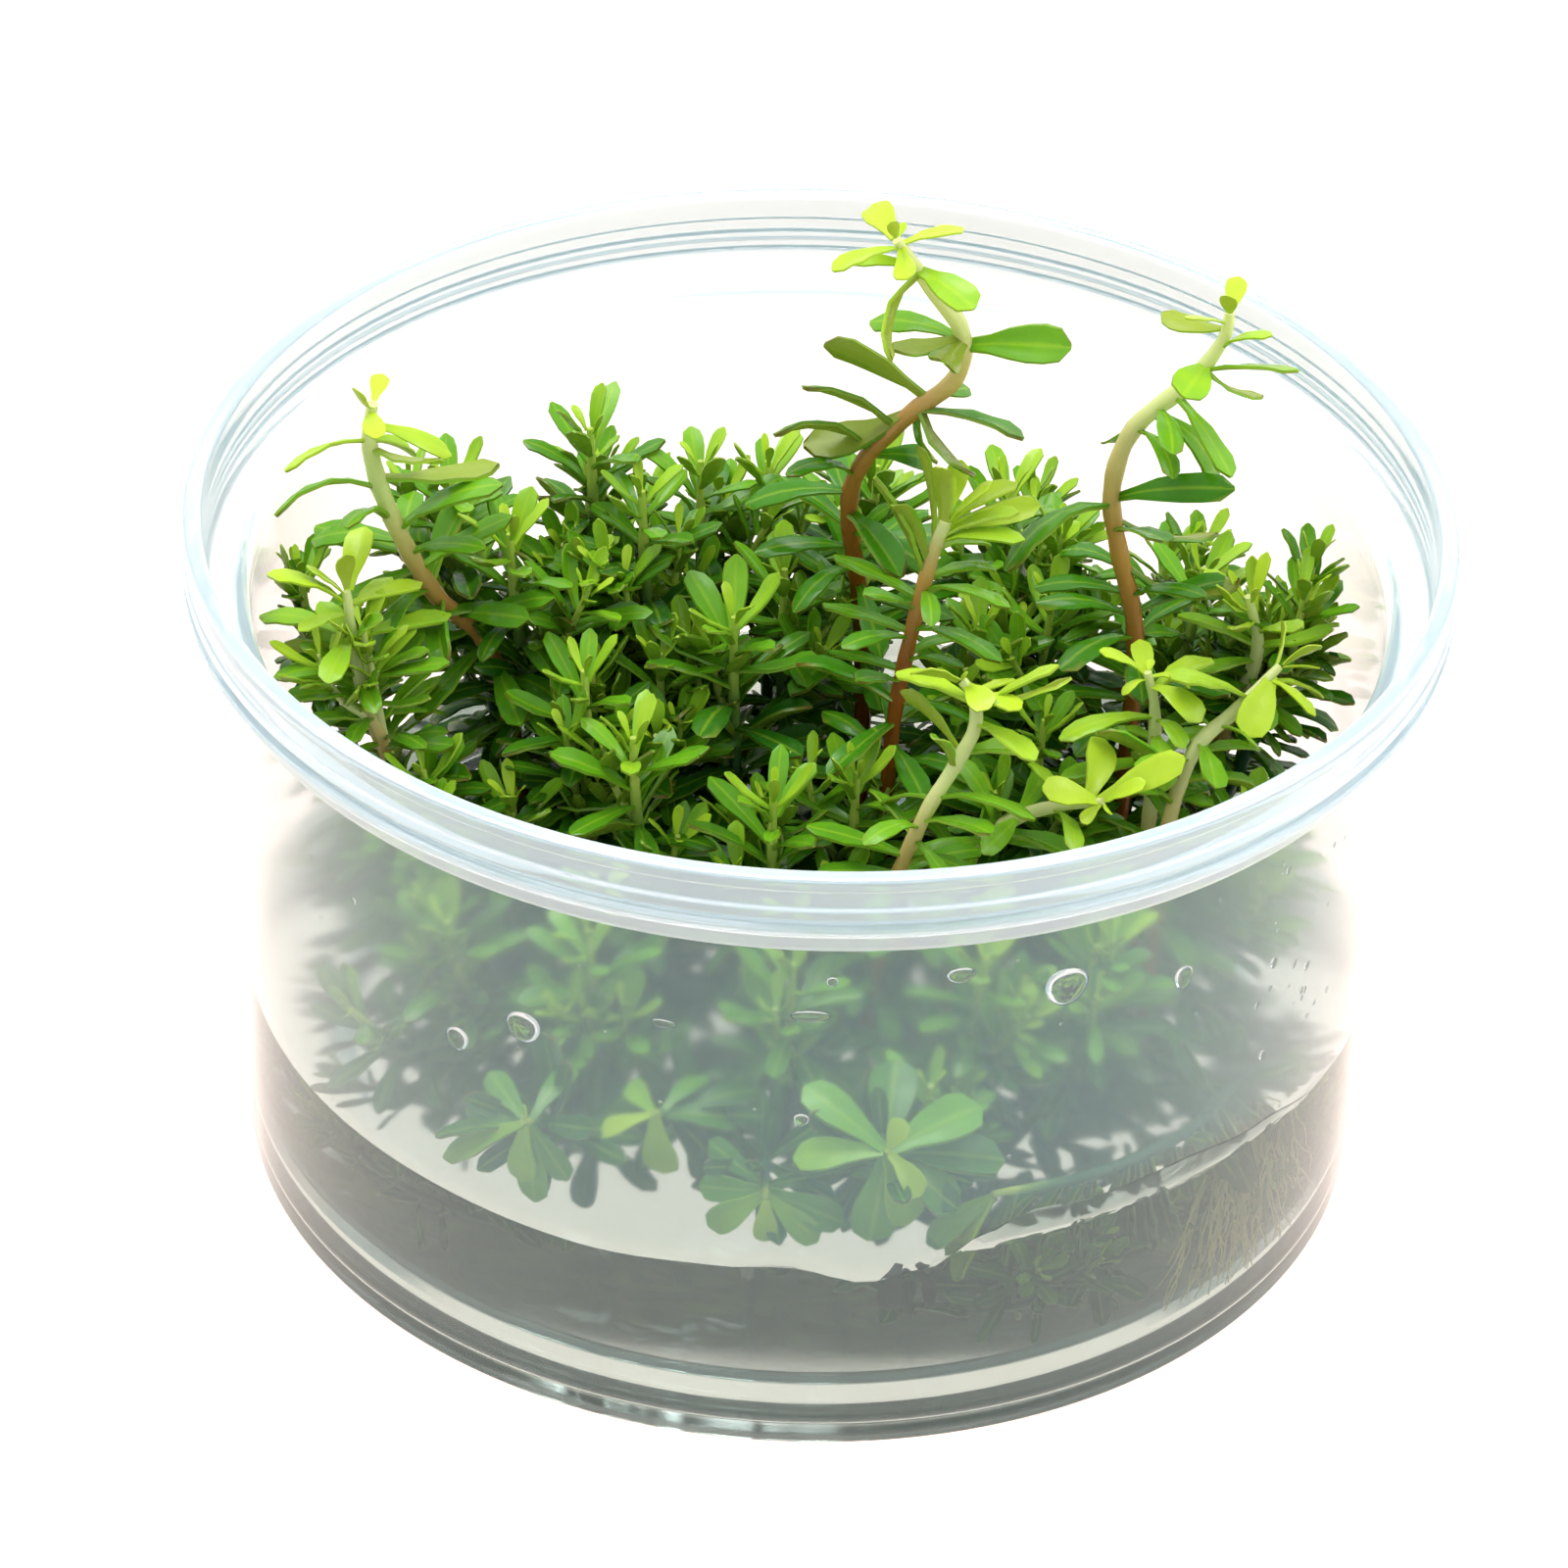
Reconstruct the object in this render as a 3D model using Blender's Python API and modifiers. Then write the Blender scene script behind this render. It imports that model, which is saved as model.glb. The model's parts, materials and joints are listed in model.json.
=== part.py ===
"""An open tissue culture cup holding clear liquid and a dense clump of young rotala shoots.

The cup stands on the flat outer ring of its base at the origin, +Z up, with the camera side at -Y. Sizes are real:
metres in the scene, written in millimetres times MM. Each shoot is one closed solid, a stem with
its leaves grown out of it in crossed pairs.
"""
import math

import bmesh
import bpy
from mathutils import Vector
from mathutils.bvhtree import BVHTree

MM = 0.001

# Cup: a thin moulded tub with a lid rim
RIM_RADIUS = 50.5
RIM_WIDTH = 1.6
CUP_HEIGHT = 57.8
BAND_BOTTOM = 54.1
FLANGE_TOP = 53.2
FLANGE_BOTTOM = 52.5
LEDGE_HEIGHT = 51.5
LEDGE_RADIUS = 48.1
WALL_THICKNESS = 1.0
WALL_RADIUS_TOP = 46.2
WALL_RADIUS_BOTTOM = 45.45
RING_OUTER = 45.0
RING_INNER = 37.6
RING_TOP = 1.1
PANEL_EDGE = 36.1
PANEL_RISE = 1.85
FLOOR_TOP = 2.85
TURN_STEPS = 36

# Liquid: it fills the cup to about a third, with an open pocket where the stems stand
GAP = 0.3
LIQUID_LEVEL = 16.0
MENISCUS = 0.7
POCKET_RADIUS = 36.0
POCKET_FLOOR = 3.6

# Root tuft: an oval tapered bundle by the right front wall
ROOT_PLACE = (33.4, -21.8)
ROOT_TURN = math.radians(57)
ROOT_BOTTOM = 3.2
ROOT_TOP = 17.2
ROOT_SPREAD_BOTTOM = 10.5
ROOT_SPREAD_TOP = 5.5
ROOT_DEPTH = 0.3
ROOT_SIDES = 12

# Stems and leaves
STEM_HALF = 0.55
STEM_FOOT = 4.4
FOOT_SPREAD = 0.78
NODE_HALF = 0.32
FIRST_NODE = 1.3
NODE_STEPS = (2.8, 3.8, 4.4)
LONGEST_STEM_RUN = 20.0
LONGEST_DRAWN_RUN = 8.0
LEAF_RISES = (64, 42, 27, 15, 8, 4)
LEAF_SCALES = (0.55, 0.85, 1.0)
LEAF_THICKNESS = 0.4
LEAF_DROOP = 0.16
LEAF_WIDTH_SHARE = 0.31
PLAIN_BLADE = ((0.97, 0.9),)
LONG_BLADE = ((0.6, 1.0), (1.0, 0.6))
CLUMP_PAIRS = 4
RETRIES = ((1.0, 0), (1.0, 18), (0.8, 0), (1.0, -16), (0.8, 24), (0.6, 0), (0.6, 30))

# Shoots drawn with the points their stems pass through, in millimetres, foot first:
# name, points, leaf pairs, leaf length, turn of the first pair in degrees
DRAWN_SHOOTS = (
    ("shoot_tall_centre",
     ((4, 12, 4.4), (4, 12, 30), (3.5, 12, 41), (2.2, 10.3, 51.5), (3.3, 9.1, 57), (6.6, 8, 62),
      (10.2, 7, 66.3), (10.4, 5.7, 71.5), (8, 5, 75.5), (5, 4, 80.5)), 9, 9.0, 8),
    ("shoot_tall_left",
     ((-22, 5, 4.4), (-24, 6, 28), (-26.5, 6, 39.5), (-31, 5, 45.5), (-34.5, 3.7, 54),
      (-36, 2.6, 61), (-35.6, 2, 65.5)), 6, 9.0, 98),
    ("shoot_tall_right",
     ((24, 5, 4.4), (25.5, 5, 30), (25.7, 6, 43), (24, 6.5, 50.7), (23.1, 7, 56.3),
      (24.5, 7.6, 61.7), (28.8, 8.2, 66), (31.2, 8.8, 69.6), (31.6, 9, 72)), 8, 9.0, 12),
    ("shoot_middle_upright",
     ((5, -3, 4.4), (6, -2.5, 30), (6.6, -2, 41.5), (8.6, 0, 52.7), (9.8, 0.4, 57), (9.6, 1, 61)),
     5, 9.0, 50),
    ("shoot_curled_tip",
     ((4, -13, 4.4), (6, -15, 28), (8.6, -16, 39), (11.5, -14.3, 44.4), (12.7, -13, 47),
      (12, -11.7, 49.4), (9.8, -10.5, 50.4)), 4, 7.5, 70),
    ("shoot_left_rim",
     ((-27, -4, 4.4), (-31, -4, 28), (-34.4, -4, 36.3), (-36.5, -3, 43), (-37.5, -2, 50)), 5, 8.0, 35),
    ("shoot_right_bright",
     ((25, -7, 4.4), (27, -6, 30), (27.2, -4.5, 41.8), (26.3, -4, 46.5)), 4, 7.5, 15),
    ("shoot_right_leaning",
     ((26, -13, 4.4), (28, -11, 32), (30, -8, 41), (33.5, -5.5, 44), (37, -2.5, 46.5)), 4, 7.5, 60),
    ("shoot_right_rim",
     ((28, 13, 4.4), (33.5, 10.5, 30), (35.8, 8.6, 40), (34.7, 8, 46)), 4, 7.5, 40),
    ("shoot_front_arching",
     ((10, -7, 4.4), (12.4, -8.4, 28), (14.7, -10, 34.4), (18, -11.8, 38), (23, -14, 40.6)), 4, 7.5, 80),
    ("shoot_wall_left",
     ((-22, -12, 4.4), (-28.5, -18, 16.5), (-33, -22, 22), (-35.2, -24, 25.5)), 3, 7.5, 30),
    ("shoot_wall_front_left",
     ((-12, -18, 4.4), (-16, -27, 16), (-19.6, -33.4, 22), (-21.2, -36.6, 24.5)), 3, 7.5, 75),
    ("shoot_wall_front",
     ((3, -18, 4.4), (5, -28, 15), (6.3, -36, 22), (6.8, -40.4, 26)), 3, 7.5, 20),
    ("shoot_wall_low",
     ((-3, -20, 4.4), (-3, -29, 14.5), (-2.6, -35, 20.5), (-2.4, -40.5, 21)), 2, 6.5, 60),
    ("shoot_wall_lying",
     ((-7, -14, 4.4), (-8, -23, 15.5), (-9, -29.5, 21), (-11.5, -34, 24)), 3, 7.0, 10),
    ("shoot_waterline",
     ((35, -18, 18.8), (30.5, -27.5, 19.6), (23, -34.8, 20.2), (15, -39, 21)), 5, 6.5, 65),
)

# The clump's other shoots, by where they stand: tip x, y, z, leaf length, turn
CLUMP = {
    "left": ((-42, 8, 45, 7.0, 15), (-30, 12, 52, 7.5, 55), (-25, 7, 50, 8.5, 20), (-21.5, 11, 44, 7.0, 70),
             (-18.5, -2.6, 43.5, 8.0, 35), (-24, -7, 34, 7.0, 80), (-31, -8, 37, 7.5, 5)),
    "middle": ((-19, 17, 54, 8.0, 40), (-14.5, 11, 52, 8.0, 10), (-10, 19, 50, 7.5, 65),
               (-6.7, 2.2, 46, 9.0, 30), (-12.6, 2.5, 42, 7.5, 75), (-14.3, -9.6, 42, 8.5, 50),
               (-3, -12.6, 39, 8.0, 5), (-2.8, 11, 45, 7.5, 55), (3.6, -7.5, 38, 7.5, 25)),
    "right": ((15.5, 20, 48, 7.5, 60), (19.8, 16.5, 46, 8.0, 15), (19, 9.5, 44, 7.5, 80), (13.2, 7, 43, 7.5, 45),
              (31.4, 15, 44, 7.5, 30), (39.6, 10, 46, 7.0, 70), (18.5, -2, 40, 7.5, 5)),
    "back": ((-4.5, 22.5, 48, 7.5, 20), (4.5, 24, 47, 7.5, 50), (-30, 25, 39, 7.5, 75), (-15, 30, 40, 7.5, 10),
             (3, 33, 39, 7.5, 60), (18, 30, 40, 7.5, 35), (29, 25, 39, 7.5, 0)),
    "front": ((-28, -19, 31, 7.5, 60), (-17, -21, 32, 7.5, 25), (-1, -24.5, 32, 7.5, 70), (14, -24, 33, 7.5, 40),
              (24, -21, 33, 7.5, 10), (35, -8, 36, 7.0, 50), (10, -33, 27, 6.5, 80)),
}

CUP_COLOUR = (0.78, 0.84, 0.88, 1.0)
LIQUID_COLOUR = (0.55, 0.66, 0.68, 1.0)
ROOT_COLOUR = (0.62, 0.55, 0.40, 1.0)
LEAF_COLOUR = (0.10, 0.33, 0.04, 1.0)
BRIGHT_LEAF_COLOUR = (0.32, 0.58, 0.07, 1.0)


def clear_scene():
    for old in list(bpy.data.objects):
        bpy.data.objects.remove(old, do_unlink=True)


def make_collection(name):
    collection = bpy.data.collections.new(name)
    bpy.context.scene.collection.children.link(collection)
    return collection


def make_material(name, colour, roughness):
    material = bpy.data.materials.new(name)
    material.use_nodes = True
    shader = material.node_tree.nodes["Principled BSDF"]
    shader.inputs["Base Color"].default_value = colour
    shader.inputs["Roughness"].default_value = roughness
    shader.inputs["Metallic"].default_value = 0.0
    return material


def add_object(name, mesh, material, collection):
    thing = bpy.data.objects.new(name, mesh)
    mesh.materials.append(material)
    collection.objects.link(thing)
    return thing


def turned(name, outline, material, collection):
    """Turn an outline of (radius, height) in millimetres about the Z axis."""
    mesh = bpy.data.meshes.new(name)
    points = [(radius * MM, 0, height * MM) for radius, height in outline]
    mesh.from_pydata(points, [(i, i + 1) for i in range(len(points) - 1)], [])
    thing = add_object(name, mesh, material, collection)
    screw = thing.modifiers.new("turn", 'SCREW')
    screw.steps = TURN_STEPS
    screw.render_steps = TURN_STEPS
    screw.use_merge_vertices = True
    screw.merge_threshold = 0.00001
    weld = thing.modifiers.new("close the poles", 'WELD')
    weld.merge_threshold = 0.00001
    return thing


def wall_inner_radius(height):
    """Radius of the cup's inner wall at a height, in millimetres."""
    outer = WALL_RADIUS_BOTTOM + (WALL_RADIUS_TOP - WALL_RADIUS_BOTTOM) * height / LEDGE_HEIGHT
    return outer - WALL_THICKNESS


def build_cup(collection):
    """One moulded piece: raised floor panel, flat ring, wall, inner ledge, rim band and second ring."""
    rim_inner = RIM_RADIUS - RIM_WIDTH
    inside = [
        (0, FLOOR_TOP),
        (PANEL_EDGE + 0.5, FLOOR_TOP),
        (RING_INNER + 0.7, RING_TOP),
        (wall_inner_radius(2.7) - 1.5, RING_TOP),
        (wall_inner_radius(2.7), 2.7),
        (wall_inner_radius(LEDGE_HEIGHT - 1.6), LEDGE_HEIGHT - 1.6),
        (wall_inner_radius(LEDGE_HEIGHT) + 0.5, LEDGE_HEIGHT - 0.5),
        (LEDGE_RADIUS, LEDGE_HEIGHT),
        (rim_inner - 0.2, LEDGE_HEIGHT + 0.9),
        (rim_inner, CUP_HEIGHT - 0.4),
        (rim_inner + 0.35, CUP_HEIGHT),
    ]
    outside = [
        (RIM_RADIUS - 0.35, CUP_HEIGHT),
        (RIM_RADIUS, CUP_HEIGHT - 0.4),
        (RIM_RADIUS, BAND_BOTTOM),
        (RIM_RADIUS - 0.8, BAND_BOTTOM - 0.2),
        (RIM_RADIUS - 0.8, FLANGE_TOP),
        (RIM_RADIUS, FLANGE_TOP - 0.1),
        (RIM_RADIUS, FLANGE_BOTTOM),
        (RIM_RADIUS - 1.0, FLANGE_BOTTOM - 0.2),
        (RIM_RADIUS - 1.2, LEDGE_HEIGHT - 1.1),
        (WALL_RADIUS_TOP + 0.7, LEDGE_HEIGHT - 1.9),
        (WALL_RADIUS_TOP, LEDGE_HEIGHT - 2.9),
        (WALL_RADIUS_BOTTOM, 0.6),
        (RING_OUTER, 0),
        (RING_INNER, 0),
        (PANEL_EDGE, PANEL_RISE),
        (0, PANEL_RISE),
    ]
    plastic = make_material("clear_polypropylene", CUP_COLOUR, 0.2)
    return turned("cup", inside + outside, plastic, collection)


def build_root_form(name, extra, material, collection):
    """Oval tapered bundle, a little larger all round by extra when it is used as a cutter."""
    height = ROOT_TOP - ROOT_BOTTOM + extra * (1 if extra == 0 else 8)
    bm = bmesh.new()
    bmesh.ops.create_cone(bm, cap_ends=True, segments=ROOT_SIDES,
                          radius1=ROOT_SPREAD_BOTTOM + extra, radius2=ROOT_SPREAD_TOP + extra,
                          depth=height)
    centre = Vector((ROOT_PLACE[0], ROOT_PLACE[1], ROOT_BOTTOM - extra + height / 2))
    across = Vector((math.cos(ROOT_TURN), math.sin(ROOT_TURN), 0))
    inward = Vector((-across.y, across.x, 0))
    for vert in bm.verts:
        depth = vert.co.y * ROOT_DEPTH + math.copysign(extra * (1 - ROOT_DEPTH), vert.co.y)
        place = centre + across * vert.co.x + inward * depth
        vert.co = Vector((place.x, place.y, centre.z + vert.co.z)) * MM
    mesh = bpy.data.meshes.new(name)
    bm.to_mesh(mesh)
    bm.free()
    return add_object(name, mesh, material, collection)


def build_liquid(collection, cutters):
    """The liquid's body, clear of the cup by GAP, with pockets for the stems and the roots."""
    top_radius = wall_inner_radius(LIQUID_LEVEL) - GAP
    bottom_radius = wall_inner_radius(3.0) - GAP
    outline = [
        (0, POCKET_FLOOR),
        (POCKET_RADIUS, POCKET_FLOOR),
        (POCKET_RADIUS + 0.6, LIQUID_LEVEL),
        (top_radius - 1.4, LIQUID_LEVEL),
        (top_radius, LIQUID_LEVEL + MENISCUS),
        (bottom_radius, 3.0),
        (bottom_radius - 1.35, RING_TOP + GAP),
        (RING_INNER + 0.9, RING_TOP + GAP),
        (PANEL_EDGE + 0.65, FLOOR_TOP + GAP),
        (0, FLOOR_TOP + GAP),
    ]
    water = make_material("nutrient_liquid", LIQUID_COLOUR, 0.05)
    liquid = turned("nutrient_liquid", outline, water, collection)
    cutter = build_root_form("root_pocket_cutter", 0.35, water, cutters)
    cutter.hide_render = True
    cutter.display_type = 'WIRE'
    cut = liquid.modifiers.new("pocket for the roots", 'BOOLEAN')
    cut.operation = 'DIFFERENCE'
    cut.object = cutter
    return liquid


def smooth_path(points):
    """Closely spaced places on a smooth curve through the given points, with lengths from the foot."""
    knots = [Vector(point) for point in points]
    knots = [knots[0] * 2 - knots[1]] + knots + [knots[-1] * 2 - knots[-2]]
    places = []
    for a, b, c, d in zip(knots, knots[1:], knots[2:], knots[3:]):
        for i in range(10):
            t = i / 10
            places.append(0.5 * (2 * b + (c - a) * t + (2 * a - 5 * b + 4 * c - d) * t ** 2
                                 + (3 * b - a - 3 * c + d) * t ** 3))
    places.append(knots[-2])
    lengths = [0.0]
    for last, place in zip(places, places[1:]):
        lengths.append(lengths[-1] + (place - last).length)
    return places, lengths


class Stem:
    """A stem's curve, with the frame that its leaves turn by."""

    def __init__(self, points, turn):
        self.places, self.lengths = smooth_path(points)
        self.length = self.lengths[-1]
        self.turn = math.radians(turn)

    def frame(self, along):
        """Centre, tangent and the two side directions at a length from the foot."""
        along = min(max(along, 0.0), self.length)
        i = 0
        while i < len(self.lengths) - 2 and self.lengths[i + 1] < along:
            i += 1
        span = self.lengths[i + 1] - self.lengths[i]
        centre = self.places[i].lerp(self.places[i + 1], (along - self.lengths[i]) / span)
        tangent = (self.places[i + 1] - self.places[i]).normalized()
        ahead = Vector((math.cos(self.turn), math.sin(self.turn), 0))
        first = (ahead - tangent * ahead.dot(tangent)).normalized()
        return centre, tangent, first, tangent.cross(first)

    def corner(self, along, signs, half):
        centre, tangent, first, second = self.frame(along)
        return centre + first * (signs[0] * half) + second * (signs[1] * half)


def node_places(stem, pairs):
    """Lengths from the foot of each leaf pair, the top pair first."""
    down = FIRST_NODE
    places = []
    for pair in range(pairs):
        places.append(stem.length - down)
        down += NODE_STEPS[min(pair, len(NODE_STEPS) - 1)]
    return places


def ring_places(nodes, length, longest_run):
    """Lengths from the foot of all the stem's rings, two at each leaf pair."""
    rings = [0.0, length]
    for place in nodes:
        rings += [place - NODE_HALF, place + NODE_HALF]
    rings.sort()
    filled = [rings[0]]
    for place in rings[1:]:
        runs = math.ceil((place - filled[-1]) / longest_run)
        start = filled[-1]
        filled += [start + (place - start) * i / runs for i in range(1, runs + 1)]
    return filled


def extrude_to(bm, face, targets):
    """Extrude one face and put each new corner where the targets say, in the face's corner order."""
    grown = bmesh.ops.extrude_discrete_faces(bm, faces=[face])["faces"][0]
    for vert, target in zip(grown.verts, targets):
        vert.co = target
    return grown


def grow_stem(stem, rings):
    """A four sided stem through all its rings, as a new bmesh in millimetres."""
    bm = bmesh.new()
    bmesh.ops.create_cube(bm, size=2.0)
    for vert in bm.verts:
        signs = (vert.co.x, vert.co.y)
        vert.co = stem.corner(rings[0] if vert.co.z < 0 else rings[1], signs, STEM_HALF)
    bm.normal_update()
    tangent = stem.frame(rings[1])[1]
    top = max(bm.faces, key=lambda face: face.normal.dot(tangent))
    for here, ahead in zip(rings[1:], rings[2:]):
        centre, tangent, first, second = stem.frame(here)
        half = STEM_HALF * (0.6 if ahead == rings[-1] else 1.0)
        targets = []
        for vert in top.verts:
            offset = vert.co - centre
            signs = (math.copysign(1, offset.dot(first)), math.copysign(1, offset.dot(second)))
            targets.append(stem.corner(ahead, signs, half))
        top = extrude_to(bm, top, targets)
    return bm


def leaf_sections(root, side, tangent, length, rise, blade):
    """Centre, half width, half thickness and the two axes of each section of a leaf blade."""
    out = (side * math.cos(rise) + tangent * math.sin(rise)).normalized()
    across = tangent.cross(side).normalized()
    normal = out.cross(across)
    sections = []
    for share, spread in blade:
        centre = root + out * (length * share)
        centre.z -= LEAF_DROOP * length * share ** 2
        half_width = length * LEAF_WIDTH_SHARE * spread / 2
        half_thickness = LEAF_THICKNESS / 2 if share < blade[-1][0] else 0
        sections.append((centre, half_width, half_thickness, across, normal))
    return sections


def section_corners(section, grow):
    centre, half_width, half_thickness, across, normal = section
    wide = across * (half_width + grow)
    thick = normal * (half_thickness + grow)
    return [centre - wide - thick, centre + wide - thick, centre + wide + thick, centre - wide + thick]


def hull_tree(loops):
    """Search tree of the closed skin round a row of four cornered loops."""
    points = [corner for loop in loops for corner in loop]
    faces = [(0, 1, 2, 3)]
    for i in range(len(loops) - 1):
        low = 4 * i
        high = low + 4
        faces += [(low + j, low + (j + 1) % 4, high + (j + 1) % 4, high + j) for j in range(4)]
    last = 4 * (len(loops) - 1)
    faces.append((last, last + 1, last + 2, last + 3))
    return BVHTree.FromPolygons(points, faces)


class Crowd:
    """The space that is already taken, so that no leaf grows through a neighbour."""

    def __init__(self):
        self.bodies = []

    def add(self, centre, reach, tree, owner):
        self.bodies.append((centre, reach, tree, owner))

    def touches(self, centre, reach, tree, skip=None):
        for other_centre, other_reach, other_tree, owner in self.bodies:
            near = (centre - other_centre).length < reach + other_reach
            if near and owner != skip and tree.overlap(other_tree):
                return True
        return False


def fits_cup(corners):
    """True where all corners are clear of the cup's wall and of the liquid outside its pocket."""
    for corner in corners:
        radius = math.hypot(corner.x, corner.y)
        if corner.z < LEDGE_HEIGHT:
            limit = wall_inner_radius(corner.z) - 2 * GAP
        else:
            limit = RIM_RADIUS - RIM_WIDTH - 2 * GAP
        if radius > limit:
            return False
        if radius > POCKET_RADIUS - 1 and corner.z < LIQUID_LEVEL + MENISCUS + GAP:
            return False
    return True


def side_face(bm, centre, side):
    """The stem's side face at a leaf's root."""
    spot = centre + side * STEM_HALF
    return min(bm.faces, key=lambda face: (face.calc_center_median() - spot).length)


def grow_leaves(bm, stem, name, nodes, leaf_length, blade, crowd):
    """Grow crossed pairs of leaves out of the stem's side faces, each where there is room.

    A blade is thick at the stem and thins to one sharp edge at its tip, where its corners merge.
    """
    for pair, place in enumerate(nodes):
        centre, tangent, first, second = stem.frame(place)
        axis = first if pair % 2 == 0 else second
        rise = LEAF_RISES[min(pair, len(LEAF_RISES) - 1)]
        length = leaf_length * LEAF_SCALES[min(pair, len(LEAF_SCALES) - 1)]
        for side in (axis, -axis):
            for scale, lift in RETRIES:
                sections = leaf_sections(centre + side * STEM_HALF, side, tangent, length * scale,
                                         math.radians(rise + lift), blade)
                start = (centre + side * (STEM_HALF * 2.2), STEM_HALF, STEM_HALF * 0.7,
                         sections[0][3], sections[0][4])
                loops = [section_corners(section, GAP / 2) for section in [start] + sections]
                tree = hull_tree(loops)
                middle = (loops[0][0] + loops[-1][2]) / 2
                reach = length * 0.6 + 1.0
                if fits_cup(sum(loops, [])) and not crowd.touches(middle, reach, tree):
                    break
            else:
                continue
            crowd.add(middle, reach, tree, name)
            face = side_face(bm, centre, side)
            for section in sections:
                across, normal = section[3], section[4]
                corners = section_corners(section, 0)
                targets = []
                face_centre = face.calc_center_median()
                for vert in face.verts:
                    offset = vert.co - face_centre
                    column = 1 if offset.dot(across) > 0 else 0
                    row = 1 if offset.dot(normal if section is not sections[0] else tangent) > 0 else 0
                    targets.append(corners[(0, 3)[row] if column == 0 else (1, 2)[row]])
                face = extrude_to(bm, face, targets)
            bmesh.ops.remove_doubles(bm, verts=list(face.verts), dist=0.001)


def shoot_plans():
    """Every shoot as name, stem points, leaf pairs, leaf length, turn and blade."""
    plans = [plan + (LONG_BLADE,) for plan in DRAWN_SHOOTS]
    for group, tips in CLUMP.items():
        for number, (x, y, z, leaf_length, turn) in enumerate(tips, start=1):
            foot = Vector((x * FOOT_SPREAD, y * FOOT_SPREAD, STEM_FOOT))
            tip = Vector((x, y, z))
            low = Vector((foot.x * 0.8 + x * 0.2, foot.y * 0.8 + y * 0.2, z * 0.45))
            high = Vector((foot.x * 0.2 + x * 0.8, foot.y * 0.2 + y * 0.8, z * 0.78))
            plans.append((f"shoot_{group}_{number}", (foot, low, high, tip), CLUMP_PAIRS, leaf_length,
                          turn, PLAIN_BLADE))
    return plans


def build_shoots(collection):
    """All stems take their room first, then the leaves grow in the room that is left."""
    green = make_material("leaf_green", LEAF_COLOUR, 0.35)
    bright = make_material("young_leaf_green", BRIGHT_LEAF_COLOUR, 0.35)
    crowd = Crowd()
    stems = []
    for name, points, pairs, leaf_length, turn, blade in shoot_plans():
        stem = Stem(points, turn)
        nodes = node_places(stem, pairs)
        longest_run = LONGEST_DRAWN_RUN if blade is LONG_BLADE else LONGEST_STEM_RUN
        rings = ring_places(nodes, stem.length, longest_run)
        for low, high in zip(rings, rings[1:]):
            loops = [[stem.corner(place, signs, STEM_HALF + GAP / 2)
                      for signs in ((-1, -1), (1, -1), (1, 1), (-1, 1))] for place in (low, high)]
            middle = (loops[0][0] + loops[1][2]) / 2
            crowd.add(middle, (high - low) / 2 + 1.2, hull_tree(loops), name)
        stems.append((name, stem, nodes, rings, leaf_length, blade))
    for name, stem, nodes, rings, leaf_length, blade in stems:
        bm = grow_stem(stem, rings)
        grow_leaves(bm, stem, name, nodes, leaf_length, blade, crowd)
        for vert in bm.verts:
            vert.co = vert.co * MM
        bm.normal_update()
        mesh = bpy.data.meshes.new(name)
        bm.to_mesh(mesh)
        bm.free()
        add_object(name, mesh, bright if blade is LONG_BLADE else green, collection)


def build():
    clear_scene()
    parts = make_collection("tissue_culture_rotala")
    cutters = make_collection("cutters")
    cup = build_cup(parts)
    build_liquid(parts, cutters)
    roots = make_material("root_straw", ROOT_COLOUR, 0.6)
    build_root_form("root_tuft", 0, roots, parts)
    build_shoots(parts)
    return cup


build()
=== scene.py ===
import json
import math
import random

import bmesh
import bpy
from mathutils import Matrix, Vector, noise

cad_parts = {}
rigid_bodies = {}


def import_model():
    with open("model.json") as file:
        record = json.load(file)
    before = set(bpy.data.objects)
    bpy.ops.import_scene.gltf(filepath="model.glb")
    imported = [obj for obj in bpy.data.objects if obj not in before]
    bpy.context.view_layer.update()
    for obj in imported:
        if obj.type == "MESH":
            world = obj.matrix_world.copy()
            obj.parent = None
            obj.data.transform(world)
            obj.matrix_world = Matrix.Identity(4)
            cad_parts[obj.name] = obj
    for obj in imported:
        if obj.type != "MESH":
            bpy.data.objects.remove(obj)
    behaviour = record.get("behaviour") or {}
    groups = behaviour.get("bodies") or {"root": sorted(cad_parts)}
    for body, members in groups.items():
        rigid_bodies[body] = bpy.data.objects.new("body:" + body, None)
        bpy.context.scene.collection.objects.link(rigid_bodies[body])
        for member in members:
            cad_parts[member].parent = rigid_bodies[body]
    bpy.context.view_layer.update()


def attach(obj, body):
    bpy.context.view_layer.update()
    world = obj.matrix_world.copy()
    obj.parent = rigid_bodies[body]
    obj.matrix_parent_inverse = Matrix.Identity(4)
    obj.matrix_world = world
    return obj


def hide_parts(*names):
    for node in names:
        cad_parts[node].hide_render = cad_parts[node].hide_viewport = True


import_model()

MM = 0.001


# Camera
# The photograph looks down on the open cup from the front with a long lens, and the cup leans a
# little to the right in the picture. The place and roll were fitted to the rim's ellipses.
CAMERA_LENS = 180.0
CAMERA_DISTANCE = 652.7 * MM
CAMERA_PITCH = math.radians(34.73)
CAMERA_ROLL = math.radians(2.15)
CAMERA_RIGHT = -2.19 * MM
CAMERA_UP = 25.82 * MM

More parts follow.
